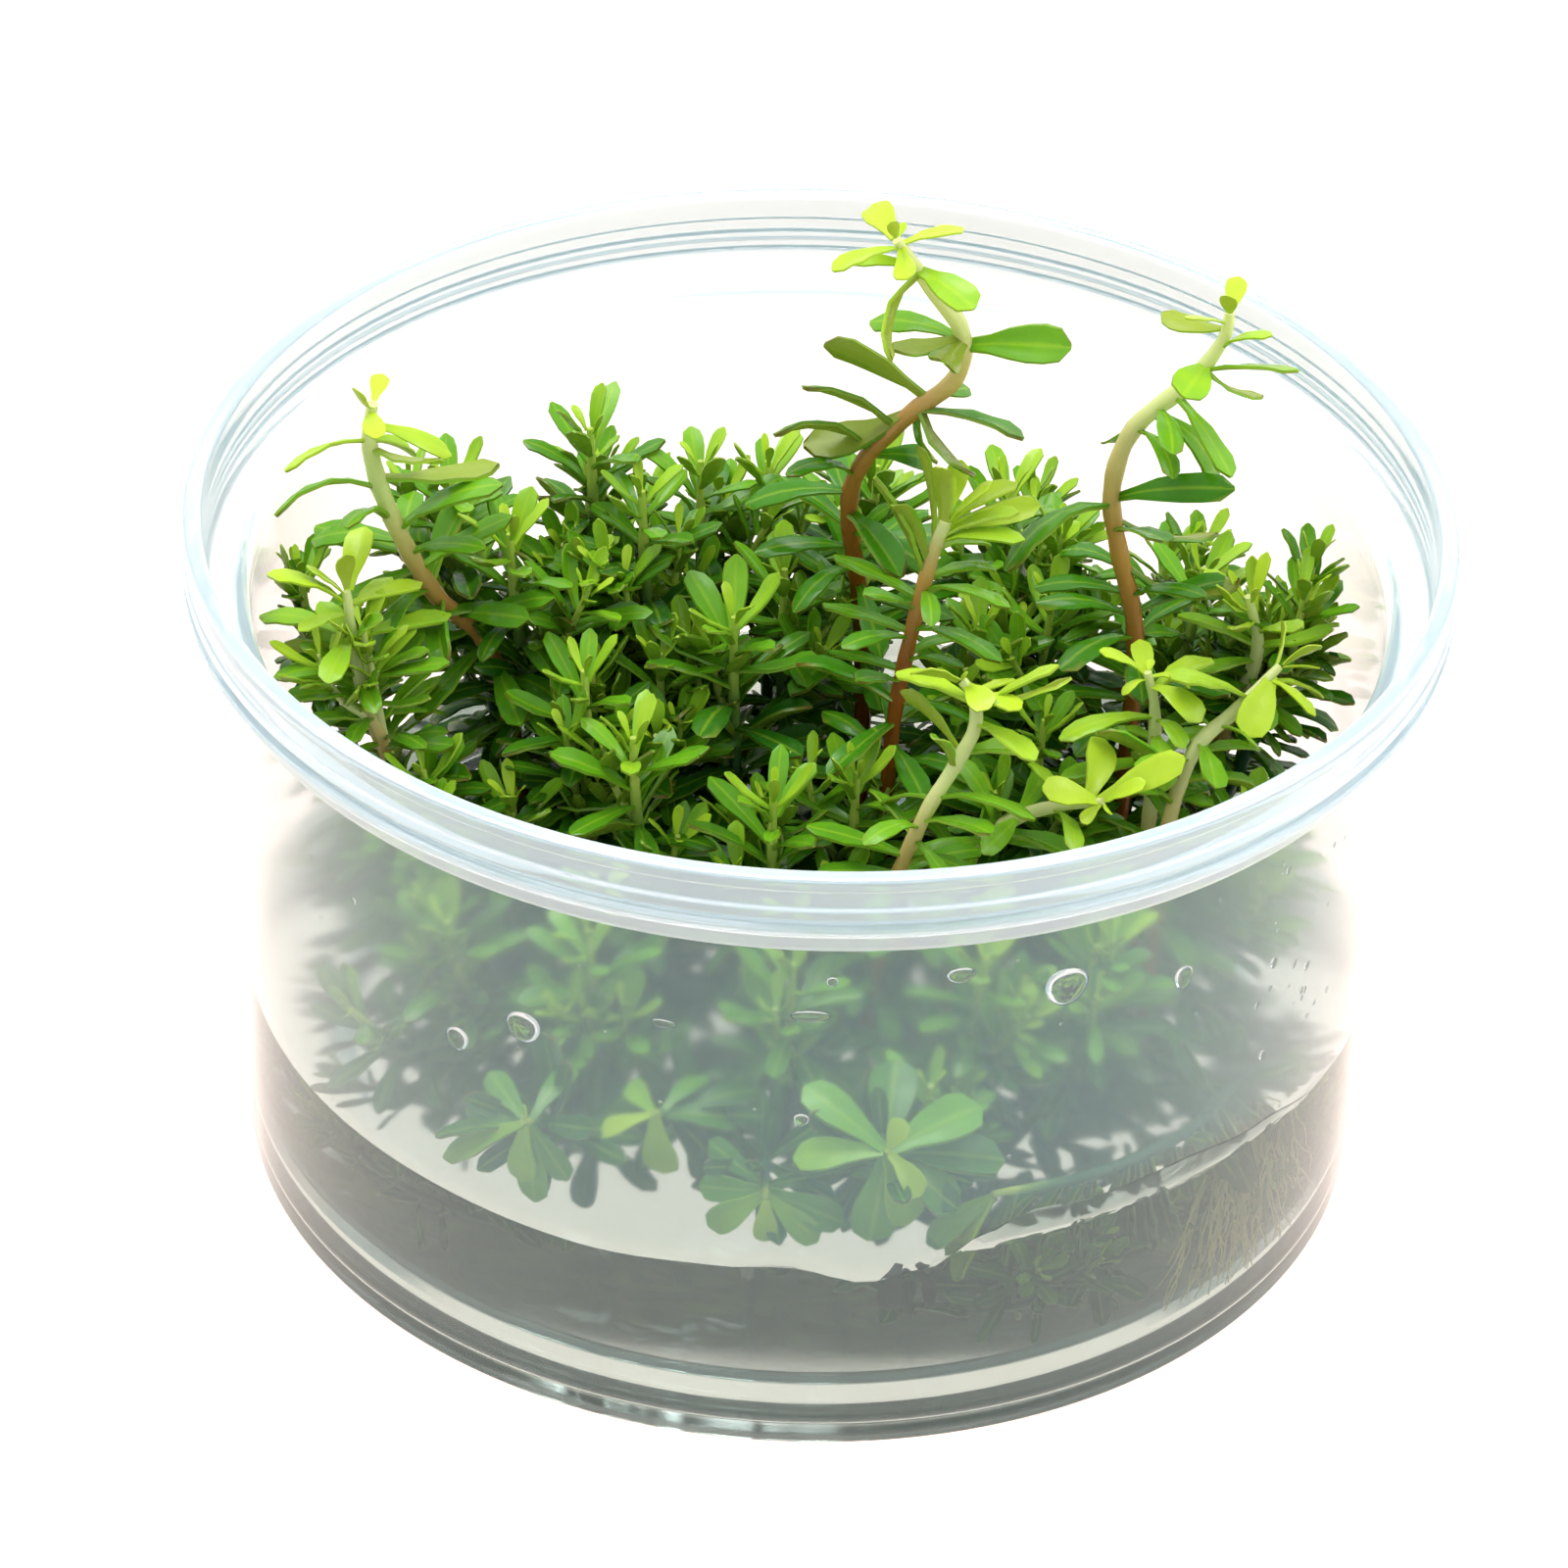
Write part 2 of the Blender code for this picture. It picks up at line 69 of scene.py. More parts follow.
forward = Vector((0, math.cos(CAMERA_PITCH), -math.sin(CAMERA_PITCH)))
level_right = Vector((1, 0, 0))
level_up = level_right.cross(forward)
rolled_right = level_right * math.cos(CAMERA_ROLL) + level_up * math.sin(CAMERA_ROLL)
rolled_up = level_up * math.cos(CAMERA_ROLL) - level_right * math.sin(CAMERA_ROLL)
camera_place = level_right * CAMERA_RIGHT + level_up * CAMERA_UP - forward * CAMERA_DISTANCE
camera_data = bpy.data.cameras.new("camera")
camera_data.lens = CAMERA_LENS
camera_data.sensor_width = 36.0
camera_data.clip_start = 0.01
camera = bpy.data.objects.new("camera", camera_data)
camera.matrix_world = (Matrix.Translation(camera_place)
                       @ Matrix((rolled_right, rolled_up, -forward)).transposed().to_4x4())
bpy.context.scene.collection.objects.link(camera)
bpy.context.scene.camera = camera


# Table and studio light
# A plain white table, lit by a broad overhead softbox and a smaller one from the right, and burnt out
# to white by light of its own. The surroundings fade from white overhead to a pale blue grey, which
# draws the cup's edges.
SKY_TOP = "#FFFFFF"
SKY_FRONT = "#8FA6B8"
SKY_STRENGTH = 1.15
# The sky's shade follows height and, by this share, depth, and fades between these two values
SKY_LEAN = 0.9
SKY_FADE = (-0.75, 0.35)
KEY_POWER = 5.2
FILL_POWER = 2.0
TABLE_GREY = "#707070"
TABLE_GLOW = "#FFE8DC"
TABLE_GLOW_STRENGTH = 1.5


def linear_colour(code):
    """Turn an sRGB hex colour into the linear values that Blender works in."""
    parts = [int(code[i:i + 2], 16) / 255 for i in (1, 3, 5)]
    return tuple(c / 12.92 if c <= 0.04045 else ((c + 0.055) / 1.055) ** 2.4 for c in parts) + (1.0,)


def add_node(tree, kind, inputs=None, stops=(), **settings):
    """Add a node with its settings. An input takes a plain value or another node's output.

    A colour ramp also takes its stops, each a position and a hex colour, in rising order.
    """
    node = tree.nodes.new(kind)
    for key, value in settings.items():
        setattr(node, key, value)
    for key, value in (inputs or {}).items():
        if isinstance(value, bpy.types.NodeSocket):
            tree.links.new(value, node.inputs[key])
        else:
            node.inputs[key].default_value = value
    for i, (position, colour) in enumerate(stops):
        elements = node.color_ramp.elements
        stop = elements[i] if i < len(elements) else elements.new(position)
        stop.position = position
        stop.color = linear_colour(colour)
    return node


def new_material(name):
    """An empty material's tree and its output node."""
    material = bpy.data.materials.new(name)
    material.use_nodes = True
    material.node_tree.nodes.clear()
    output = add_node(material.node_tree, "ShaderNodeOutputMaterial")
    return material, material.node_tree, output


def add_softbox(name, place, size, power):
    data = bpy.data.lights.new(name, 'AREA')
    data.shape = 'RECTANGLE'
    data.size = size[0]
    data.size_y = size[1]
    data.energy = power
    light = bpy.data.objects.new(name, data)
    light.location = place
    light.rotation_euler = (-Vector(place)).to_track_quat('-Z', 'Y').to_euler()
    bpy.context.scene.collection.objects.link(light)


world = bpy.data.worlds.new("white_studio")
world.use_nodes = True
world.node_tree.nodes.clear()
sky_way = add_node(world.node_tree, "ShaderNodeTexCoord")
sky_parts = add_node(world.node_tree, "ShaderNodeSeparateXYZ", {0: sky_way.outputs["Generated"]})
sky_lean = add_node(world.node_tree, "ShaderNodeMath",
                    {0: sky_parts.outputs["Y"], 1: SKY_LEAN, 2: sky_parts.outputs["Z"]},
                    operation='MULTIPLY_ADD')
sky_blend = add_node(world.node_tree, "ShaderNodeMapRange",
                     {"Value": sky_lean.outputs[0], "From Min": SKY_FADE[0], "From Max": SKY_FADE[1]},
                     interpolation_type='SMOOTHSTEP')
sky_colour = add_node(world.node_tree, "ShaderNodeMix",
                      {0: sky_blend.outputs["Result"], 6: linear_colour(SKY_FRONT),
                       7: linear_colour(SKY_TOP)},
                      data_type='RGBA')
sky = add_node(world.node_tree, "ShaderNodeBackground",
               {"Color": sky_colour.outputs[2], "Strength": SKY_STRENGTH})
add_node(world.node_tree, "ShaderNodeOutputWorld", {"Surface": sky.outputs["Background"]})
bpy.context.scene.world = world
world.cycles.sampling_method = 'NONE'
bpy.context.scene.view_settings.view_transform = 'Standard'

add_softbox("overhead_softbox", (-0.22, 0.18, 0.80), (0.55, 0.45), KEY_POWER)
add_softbox("side_softbox", (0.60, -0.10, 0.45), (0.30, 0.50), FILL_POWER)

# Matt laminate: it gives off a warm white, so that no shadow shows on it
table_paint, table_tree, table_out = new_material("white_table_laminate")
table_shader = add_node(table_tree, "ShaderNodeBsdfPrincipled",
                        {"Base Color": linear_colour(TABLE_GREY), "Roughness": 0.6,
                         "Emission Color": linear_colour(TABLE_GLOW),
                         "Emission Strength": TABLE_GLOW_STRENGTH})
table_tree.links.new(table_shader.outputs[0], table_out.inputs["Surface"])
table_paint.cycles.emission_sampling = 'NONE'
bm = bmesh.new()
bmesh.ops.create_grid(bm, x_segments=1, y_segments=1, size=4.0)
table_mesh = bpy.data.meshes.new("table")
bm.to_mesh(table_mesh)
bm.free()
table = bpy.data.objects.new("table", table_mesh)
table.location.z = -0.05 * MM
table_mesh.materials.append(table_paint)
bpy.context.scene.collection.objects.link(table)


# Cup
# An injection moulded tub of clear polypropylene, about a millimetre thick, with a rolled looking rim
# band, a second ring under it, a ledge inside and a raised floor panel in a foot ring. Above the
# liquid its inner face is fogged by fine condensation; below, the liquid clears it.
RIM_RADIUS = 50.5
RIM_WIDTH = 1.6
CUP_HEIGHT = 57.8
BAND_BOTTOM = 54.1
CHANNEL_TOP = 56.8
CHANNEL_BOTTOM = 55.0
CHANNEL_DEPTH = 0.2
FLANGE_TOP = 53.2
FLANGE_BOTTOM = 52.5
LEDGE_HEIGHT = 51.5
LEDGE_RADIUS = 48.1
WALL_THICKNESS = 1.0
WALL_RADIUS_TOP = 46.2
WALL_RADIUS_BOTTOM = 45.45
RING_INNER = 37.6
RING_TOP = 1.1
PANEL_EDGE = 36.1
PANEL_RISE = 1.85
FLOOR_TOP = 2.85
CUP_SEGMENTS = 180
ARC_POINTS = 4
# How milky the plastic looks, from 0 to 1: most in the thick rim, more on the inner wall where mist has
# settled, least in the base
RIM_MILK = 0.37
BASE_MILK = 0.01
OUTER_WALL_MILK = 0.06
INNER_WALL_MILK = 0.04
MIST_MILK = 0.12
THIN_MILK_COLOUR = "#7CD2DA"
THICK_MILK_COLOUR = "#E4F8FF"
# The mist starts this far above the liquid's edge and thickens over this height, in millimetres, and
# lies in patches of this size. The base, up to its top, has half of it.
MIST_START = 0.2
MIST_FADE = 1.6
MIST_PATCH = 10
BASE_MIST = 0.5
BASE_TOP = 3.0

# Where the liquid's edge meets the wall, by the angle round the cup in degrees: its height in
# millimetres. It is drawn up where leaves touch the wall at the right.
WATER_EDGE = ((-180, 16.6), (-154, 16.5), (-130, 16.6), (-111, 16.4), (-97, 17.0), (-91, 17.5), (-83, 15.9),
              (-76, 17.0), (-72, 19.4), (-66, 21.0), (-59, 20.6), (-49, 20.8), (-37, 19.6), (-24, 17.4),
              (-12, 16.2), (20, 16.6), (180, 16.6))

# The largest drops on the wall's inner face: angle in degrees, height, width, tallness in mm
WALL_DROPS = ((-64.1, 42.0, 3.5, 3.3), (-118.2, 35.6, 2.9, 2.7), (-125.9, 31.9, 2.0, 2.1),
              (-75.1, 45.0, 2.2, 1.4), (-89.4, 41.7, 3.0, 1.1), (-89.9, 31.8, 1.2, 1.2),
              (-50.4, 39.1, 1.7, 2.2), (-103.5, 39.6, 2.0, 0.8))


def wall_inner_radius(height):
    """Radius of the cup's inner wall at a height, in millimetres."""
    outer = WALL_RADIUS_BOTTOM + (WALL_RADIUS_TOP - WALL_RADIUS_BOTTOM) * height / LEDGE_HEIGHT
    return outer - WALL_THICKNESS


def water_edge(angle):
    """Height of the liquid's edge at an angle round the cup in degrees, eased between the points."""
    for (low, low_height), (high, high_height) in zip(WATER_EDGE, WATER_EDGE[1:]):
        if angle <= high:
            share = (angle - low) / (high - low)
            share = share * share * (3 - 2 * share)
            return low_height + (high_height - low_height) * share
    return WATER_EDGE[-1][1]


def rounded(outline):
    """Replace each (radius, height, bend) corner of an outline by a short arc of that bend."""
    points = []
    for i, (radius, height, bend) in enumerate(outline):
        here = Vector((radius, height))
        if bend == 0 or i in (0, len(outline) - 1):
            points.append(here)
            continue
        back = Vector(outline[i - 1][:2]) - here
        ahead = Vector(outline[i + 1][:2]) - here
        reach = min(bend, back.length * 0.45, ahead.length * 0.45)
        start = here + back.normalized() * reach
        end = here + ahead.normalized() * reach
        for step in range(ARC_POINTS + 1):
            t = step / ARC_POINTS
            points.append(start * (1 - t) ** 2 + here * 2 * t * (1 - t) + end * t ** 2)
    return points


def turned_mesh(name, points, segments):
    """Turn an outline in millimetres about the Z axis with a Screw modifier and keep the mesh."""
    mesh = bpy.data.meshes.new(name)
    mesh.from_pydata([(p[0] * MM, 0, p[1] * MM) for p in points],
                     [(i, i + 1) for i in range(len(points) - 1)], [])
    blank = bpy.data.objects.new(name, mesh)
    bpy.context.scene.collection.objects.link(blank)
    screw = blank.modifiers.new("turn", 'SCREW')
    screw.steps = segments
    screw.render_steps = segments
    screw.use_merge_vertices = True
    screw.merge_threshold = 0.000001
    weld = blank.modifiers.new("close the poles", 'WELD')
    weld.merge_threshold = 0.000001
    view = blank.evaluated_get(bpy.context.evaluated_depsgraph_get())
    result = bpy.data.meshes.new_from_object(view)
    bpy.data.objects.remove(blank, do_unlink=True)
    bpy.data.meshes.remove(mesh)
    return result


def finish_piece(name, mesh, materials, slot, *nodes):
    """Link a finished mesh as a piece that rides on the cup's body and stands for its CAD nodes."""
    mesh.name = name
    mesh.materials.clear()
    for material in materials:
        mesh.materials.append(material)
    piece = bpy.data.objects.new(name, mesh)
    bpy.context.scene.collection.objects.link(piece)
    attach(piece, "root")
    if nodes:
        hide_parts(*nodes)
    return piece


def set_attribute(mesh, name, values):
    attribute = mesh.attributes.new(name, 'FLOAT', 'POINT')
    attribute.data.foreach_set("value", values)


def round_place(vertex):
    """A vertex's distance from the cup's axis and its height in mm, and its angle in degrees."""
    angle = math.degrees(math.atan2(vertex.co.y, vertex.co.x))
    return math.hypot(vertex.co.x, vertex.co.y) / MM, vertex.co.z / MM, angle


rim_inner = RIM_RADIUS - RIM_WIDTH
cup_inside = [(0, FLOOR_TOP, 0), (PANEL_EDGE + 0.5, FLOOR_TOP, 0.4), (RING_INNER + 0.7, RING_TOP, 0.4),
              (wall_inner_radius(RING_TOP), RING_TOP, 1.7)]
cup_inside += [(wall_inner_radius(height), height, 0) for height in range(5, 50)]
cup_inside += [(wall_inner_radius(LEDGE_HEIGHT - 1.0), LEDGE_HEIGHT - 1.0, 0.6),
               (wall_inner_radius(LEDGE_HEIGHT) + 0.5, LEDGE_HEIGHT - 0.3, 0.4),
               (LEDGE_RADIUS, LEDGE_HEIGHT, 0.4), (rim_inner - 0.15, LEDGE_HEIGHT + 0.9, 0.8),
               (rim_inner, CUP_HEIGHT, 0.45)]
channel = RIM_RADIUS - CHANNEL_DEPTH
cup_outside = [(RIM_RADIUS, CUP_HEIGHT, 0.45), (RIM_RADIUS, CHANNEL_TOP, 0.12),
               (channel, CHANNEL_TOP - 0.2, 0.12), (channel, CHANNEL_BOTTOM + 0.2, 0.12),
               (RIM_RADIUS, CHANNEL_BOTTOM, 0.12), (RIM_RADIUS, BAND_BOTTOM, 0.25),
               (RIM_RADIUS - 0.85, BAND_BOTTOM - 0.1, 0.2), (RIM_RADIUS - 0.85, FLANGE_TOP, 0.2),
               (RIM_RADIUS, FLANGE_TOP, 0.25), (RIM_RADIUS, FLANGE_BOTTOM, 0.25),
               (RIM_RADIUS - 1.0, FLANGE_BOTTOM - 0.2, 0.2), (RIM_RADIUS - 1.2, LEDGE_HEIGHT - 1.1, 0.6),
               (WALL_RADIUS_TOP + 0.3, LEDGE_HEIGHT - 1.9, 0.8), (WALL_RADIUS_TOP, LEDGE_HEIGHT - 2.9, 0.6),
               (WALL_RADIUS_BOTTOM, 0, 0.45), (RING_INNER, 0, 0.3), (PANEL_EDGE, PANEL_RISE, 0.3),
               (0, PANEL_RISE, 0)]
cup_mesh = turned_mesh("cup", rounded(cup_inside + cup_outside), CUP_SEGMENTS)
fog = []
milk = []
for vertex in cup_mesh.vertices:
    radius, height, angle = round_place(vertex)
    on_inner_wall = BASE_TOP < height < LEDGE_HEIGHT and radius < wall_inner_radius(height) + 0.5
    on_base = height < BASE_TOP and radius < WALL_RADIUS_BOTTOM - 0.6
    mist = min(max((height - water_edge(angle) - MIST_START) / MIST_FADE, 0), 1)
    fog.append(mist if on_inner_wall else (BASE_MIST if height < BASE_TOP else 0.0))
    wall_milk = INNER_WALL_MILK + MIST_MILK * mist if on_inner_wall else OUTER_WALL_MILK
    milk.append(RIM_MILK if height > LEDGE_HEIGHT - 1.5 else (BASE_MILK if on_base else wall_milk))
set_attribute(cup_mesh, "fog", fog)
set_attribute(cup_mesh, "milk", milk)
cup_mesh.shade_smooth()
cup_mesh.set_sharp_from_angle(angle=math.radians(50))

# Clear polypropylene: index 1.49, a little milky and bluish where it is thick, glossy outside
cup_plastic, tree, out = new_material("moulded_clear_polypropylene")
place = add_node(tree, "ShaderNodeTexCoord")
fog_mask = add_node(tree, "ShaderNodeAttribute", attribute_name="fog")
milk_mask = add_node(tree, "ShaderNodeAttribute", attribute_name="milk")
misted = fog_mask.outputs["Fac"]
# The two largest drops leave no mist under them
for drop_angle, drop_height, drop_width, drop_tall in WALL_DROPS[:2]:
    drop_radius = wall_inner_radius(drop_height)
    spot = (drop_radius * math.cos(math.radians(drop_angle)) * MM,
            drop_radius * math.sin(math.radians(drop_angle)) * MM, drop_height * MM)
    gap = add_node(tree, "ShaderNodeVectorMath", {0: place.outputs["Object"], 1: spot}, operation='DISTANCE')
    outside_drop = add_node(tree, "ShaderNodeMath",
                            {0: gap.outputs["Value"], 1: min(drop_width, drop_tall) * 0.5 * MM},
                            operation='GREATER_THAN')
    misted = add_node(tree, "ShaderNodeMath", {0: misted, 1: outside_drop.outputs[0]},
                      operation='MULTIPLY').outputs[0]
fog_patches = add_node(tree, "ShaderNodeTexNoise",
                       {"Vector": place.outputs["Object"], "Scale": 1 / (MIST_PATCH * MM), "Detail": 0.0})
fog_rough = add_node(tree, "ShaderNodeMapRange",
                     {"Value": fog_patches.outputs["Fac"], "From Min": 0.3, "From Max": 0.7,
                      "To Min": 0.06, "To Max": 0.10})
roughness = add_node(tree, "ShaderNodeMath", {0: misted, 1: fog_rough.outputs[0], 2: 0.03},
                     operation='MULTIPLY_ADD')
glassy = add_node(tree, "ShaderNodeBsdfPrincipled",
                  {"Base Color": linear_colour("#FCFDFE"), "Roughness": roughness.outputs[0],
                   "Transmission Weight": 1.0, "IOR": 1.49})
thick = add_node(tree, "ShaderNodeMapRange",
                 {"Value": milk_mask.outputs["Fac"], "From Min": 0.2, "From Max": 0.28})
milk_colour = add_node(tree, "ShaderNodeMix",
                       {0: thick.outputs["Result"], 6: linear_colour(THIN_MILK_COLOUR),
                        7: linear_colour(THICK_MILK_COLOUR)},
                       data_type='RGBA')
bluish = add_node(tree, "ShaderNodeBsdfPrincipled",
                  {"Base Color": milk_colour.outputs[2], "Roughness": 0.3, "IOR": 1.49})
shader = add_node(tree, "ShaderNodeMixShader",
                  {0: milk_mask.outputs["Fac"], 1: glassy.outputs[0], 2: bluish.outputs[0]})
tree.links.new(shader.outputs[0], out.inputs["Surface"])
finish_piece("cup_moulding", cup_mesh, [cup_plastic], "clear_plastic", "cup")


# Nutrient liquid
# Clear nutrient solution about 13.5 mm deep over the floor, whose edge climbs the wall a little and is
# pulled up by wet leaves. Its skin sits a hair inside the plastic, so light passes between them.
LIQUID_LEVEL = 16.4
EDGE_HEIGHT = 16.6
SKIN = 0.12
# The edge's climb dies away about this far from the wall, in millimetres
CLIMB_REACH = 1.0
# Height and width of the faint swells, and the radius where they end, after fading over this distance
SWELL_HEIGHT = 0.12
SWELL_WIDTH = 9
SWELL_END = 45
SWELL_FADE = 6

liquid_points = [(0, LIQUID_LEVEL)]
liquid_points += [(radius, LIQUID_LEVEL) for radius in (8, 16, 24, 31, 36, 39, 41, 42.4, 43.2, 43.8, 44.2)]
liquid_points += [(wall_inner_radius(EDGE_HEIGHT) + SKIN, EDGE_HEIGHT)]
liquid_points += [(wall_inner_radius(height) + SKIN, height) for height in (14.0, 11.0, 8.0, 5.0)]
liquid_points += [(wall_inner_radius(2.7) + SKIN, 2.7), (wall_inner_radius(2.0) - 0.4 + SKIN, 1.55),
                  (wall_inner_radius(1.1) - 1.7 + SKIN, RING_TOP - SKIN),
                  (RING_INNER + 0.65 - SKIN, RING_TOP - SKIN), (PANEL_EDGE + 0.45 - SKIN, FLOOR_TOP - SKIN),
                  (0, FLOOR_TOP - SKIN)]
liquid_mesh = turned_mesh("liquid", liquid_points, CUP_SEGMENTS)
for vertex in liquid_mesh.vertices:
    radius, height, angle = round_place(vertex)
    if height < LIQUID_LEVEL - 0.1:
        continue
    climb = water_edge(angle) - LIQUID_LEVEL
    near_wall = math.exp(-max(wall_inner_radius(EDGE_HEIGHT) - radius, 0) / CLIMB_REACH)
    swell = SWELL_HEIGHT * noise.noise(Vector((vertex.co.x, vertex.co.y, 0)) / (SWELL_WIDTH * MM))
    swell *= min(1, (SWELL_END - radius) / SWELL_FADE)
    vertex.co.z = (LIQUID_LEVEL + climb * near_wall + swell) * MM
liquid_mesh.shade_smooth()
liquid_mesh.set_sharp_from_angle(angle=math.radians(50))

# Nutrient solution: water's index 1.333, with a faint grey green tint
liquid_clear, tree, out = new_material("clear_nutrient_solution")
shader = add_node(tree, "ShaderNodeBsdfPrincipled",
                  {"Base Color": linear_colour("#C0D0CA"), "Roughness": 0.0, "Transmission Weight": 1.0,
                   "IOR": 1.333})
tree.links.new(shader.outputs[0], out.inputs["Surface"])
finish_piece("nutrient_solution", liquid_mesh, [liquid_clear], "nutrient_liquid", "nutrient_liquid")


# Water drops
# Condensation and splashes that stick to the inner wall as flattened beads. The large ones are
# where the photograph shows them, and small ones are scattered at the right.
SMALL_DROPS = 46
SMALL_DROP_SIZES = (0.25, 1.0)
SMALL_DROP_HEIGHTS = (24, 46)
# Most small drops lie about one angle, with a spread, and every fourth anywhere along the front
SMALL_DROP_PATCH = (-32, 9)
SMALL_DROP_ARC = (-150, -20)


def add_drop(bm, angle, height, width, tall, thick):
    """A flattened bead of water set a hair into the inner wall at an angle and a height."""
    radius = wall_inner_radius(height) + SKIN - thick * 0.12
    turn = math.radians(angle)
    inward = Vector((-math.cos(turn), -math.sin(turn), 0))
    across = Vector((-math.sin(turn), math.cos(turn), 0))
    centre = Vector((radius * math.cos(turn), radius * math.sin(turn), height))
    bead = bmesh.ops.create_uvsphere(bm, u_segments=20, v_segments=12, radius=1.0)
    for vertex in bead["verts"]:
        point = vertex.co.copy()
        sag = 1.0 + 0.18 * point.y
        depth = point.z * (thick if point.z > 0 else thick * 0.1)
        vertex.co = (centre + across * (point.x * width / 2 / sag) + Vector((0, 0, -point.y * tall / 2))
                     + inward * depth) * MM


bm = bmesh.new()
for angle, height, width, tall in WALL_DROPS:
    add_drop(bm, angle, height, width, tall, 0.32 * min(width, tall))
chance = random.Random(12)
for count in range(SMALL_DROPS):
    size = SMALL_DROP_SIZES[0] + (SMALL_DROP_SIZES[1] - SMALL_DROP_SIZES[0]) * chance.random() ** 3
    angle = chance.gauss(*SMALL_DROP_PATCH) if count % 4 else chance.uniform(*SMALL_DROP_ARC)
    height = chance.uniform(*SMALL_DROP_HEIGHTS)
    add_drop(bm, angle, height, size, size * chance.uniform(0.9, 1.4), size * 0.35)
bmesh.ops.recalc_face_normals(bm, faces=bm.faces)
drop_mesh = bpy.data.meshes.new("drops")
bm.to_mesh(drop_mesh)
bm.free()
drop_mesh.shade_smooth()

# Clean water: index 1.333 and perfectly smooth, so that each bead glints
drop_clear, tree, out = new_material("water_drop")
shader = add_node(tree, "ShaderNodeBsdfPrincipled",
                  {"Base Color": (1, 1, 1, 1), "Roughness": 0.0, "Transmission Weight": 1.0, "IOR": 1.333})
tree.links.new(shader.outputs[0], out.inputs["Surface"])
finish_piece("wall_drops", drop_mesh, [drop_clear], "nutrient_liquid")


# Leaf blades
# Each leaf is one thin spoon shaped blade with a grooved midrib and a blunt tip, narrow where it
# leaves the stem. Eight blades, from flat to drooping and folded, serve all the shoots.
BLADE_ROWS = 6
BLADE_COLUMNS = (-1.0, -0.55, 0.0, 0.55, 1.0)
BLADE_WIDTH_SHARE = 0.125
BLADE_THICKNESS = 0.035
# As shares of the blade's length: where it reaches full width, where the blunt tip starts, the tip's
# length, and the height of the waves towards its margins
BLADE_FULL = 0.66
BLADE_TIP = 0.76
BLADE_TIP_LENGTH = 0.243
MARGIN_WAVE = 0.010
# As shares of the half width: the midrib groove's depth and width
MIDRIB_DEPTH = 0.30
MIDRIB_WIDTH = 0.2
# name, droop in radians from root to tip, lift of the margins, twist in radians, fullness
BLADES = (("leaf_0_young", -0.45, 0.30, 0.0, 1.05), ("leaf_1_flat", 0.35, -0.08, 0.1, 1.0),
          ("leaf_2_arching", 0.85, -0.16, -0.2, 0.98), ("leaf_3_drooping", 1.35, -0.20, 0.25, 1.0),
          ("leaf_4_broad", 0.55, 0.10, -0.1, 1.2), ("leaf_5_narrow", 0.45, 0.22, 0.3, 0.85),
          ("leaf_6_folded", 0.6, 0.60, 0.2, 0.95), ("leaf_7_rolled", 1.0, -0.42, -0.35, 0.95))


def blade_half_width(along, fullness):
    """Half width of a blade of unit length at a share of its length."""
    rise = min(max(along / BLADE_FULL, 0), 1)
    half = BLADE_WIDTH_SHARE * fullness * (0.30 + 0.70 * rise * rise * (3 - 2 * rise))
    if along > BLADE_TIP:
        half *= math.sqrt(max(1 - ((along - BLADE_TIP) / BLADE_TIP_LENGTH) ** 2.4, 0))
    return half


def make_blade(name, droop, lift, twist, fullness):
    """One leaf of unit length along X with its upper face at +Z, closed all round."""
    columns = len(BLADE_COLUMNS)
    shares = [1 - (1 - row / BLADE_ROWS) ** 1.3 for row in range(BLADE_ROWS + 1)]
    spine = [Vector((0, 0, 0))]
    for low, high in zip(shares, shares[1:]):
        tilt = -droop * ((low + high) / 2) ** 1.1
        spine.append(spine[-1] + Vector((math.cos(tilt), 0, math.sin(tilt))) * (high - low))
    level = math.atan2(-spine[-1].z, spine[-1].x)
    bm = bmesh.new()
    grid = []
    for share, centre in zip(shares, spine):
        tilt = -droop * share ** 1.1
        up = Vector((-math.sin(tilt), 0, math.cos(tilt)))
        side = Vector((0, math.cos(twist * share), 0)) + up * math.sin(twist * share)
        half = blade_half_width(share, fullness)
        line = []
        for v in BLADE_COLUMNS:
            groove = MIDRIB_DEPTH * half * math.exp(-(v / MIDRIB_WIDTH) ** 2) * (1 - share * 0.6)
            height = lift * half * v * v - groove
            height += MARGIN_WAVE * fullness * math.sin(share * 15 + v * 2.5) * abs(v)
            line.append(bm.verts.new(centre + side * (half * v) + up * height))
        grid.append(line)
    bmesh.ops.rotate(bm, verts=bm.verts, matrix=Matrix.Rotation(-level, 3, 'Y'))
    for low, high in zip(grid, grid[1:]):
        for j in range(columns - 1):
            bm.faces.new((low[j], high[j], high[j + 1], low[j + 1]))
    mesh = bpy.data.meshes.new(name)
    bm.to_mesh(mesh)
    bm.free()
    set_attribute(mesh, "along", [shares[i // columns] for i in range(len(mesh.vertices))])
    set_attribute(mesh, "across", [BLADE_COLUMNS[i % columns] for i in range(len(mesh.vertices))])
    blade = bpy.data.objects.new(name, mesh)
    blades.objects.link(blade)
    thick = blade.modifiers.new("thickness", 'SOLIDIFY')
    thick.thickness = BLADE_THICKNESS
    thick.offset = -1
    view = blade.evaluated_get(bpy.context.evaluated_depsgraph_get())
    solid = bpy.data.meshes.new_from_object(view)
    blade.modifiers.clear()
    blade.data = solid
    set_attribute(solid, "under", [1.0 if vertex.normal.z < 0 else 0.0 for vertex in solid.vertices])
    solid.shade_smooth()
    solid.set_sharp_from_angle(angle=math.radians(60))


blades = bpy.data.collections.new("blades")
bpy.context.scene.collection.children.link(blades)
for blade_facts in BLADES:
    make_blade(*blade_facts)


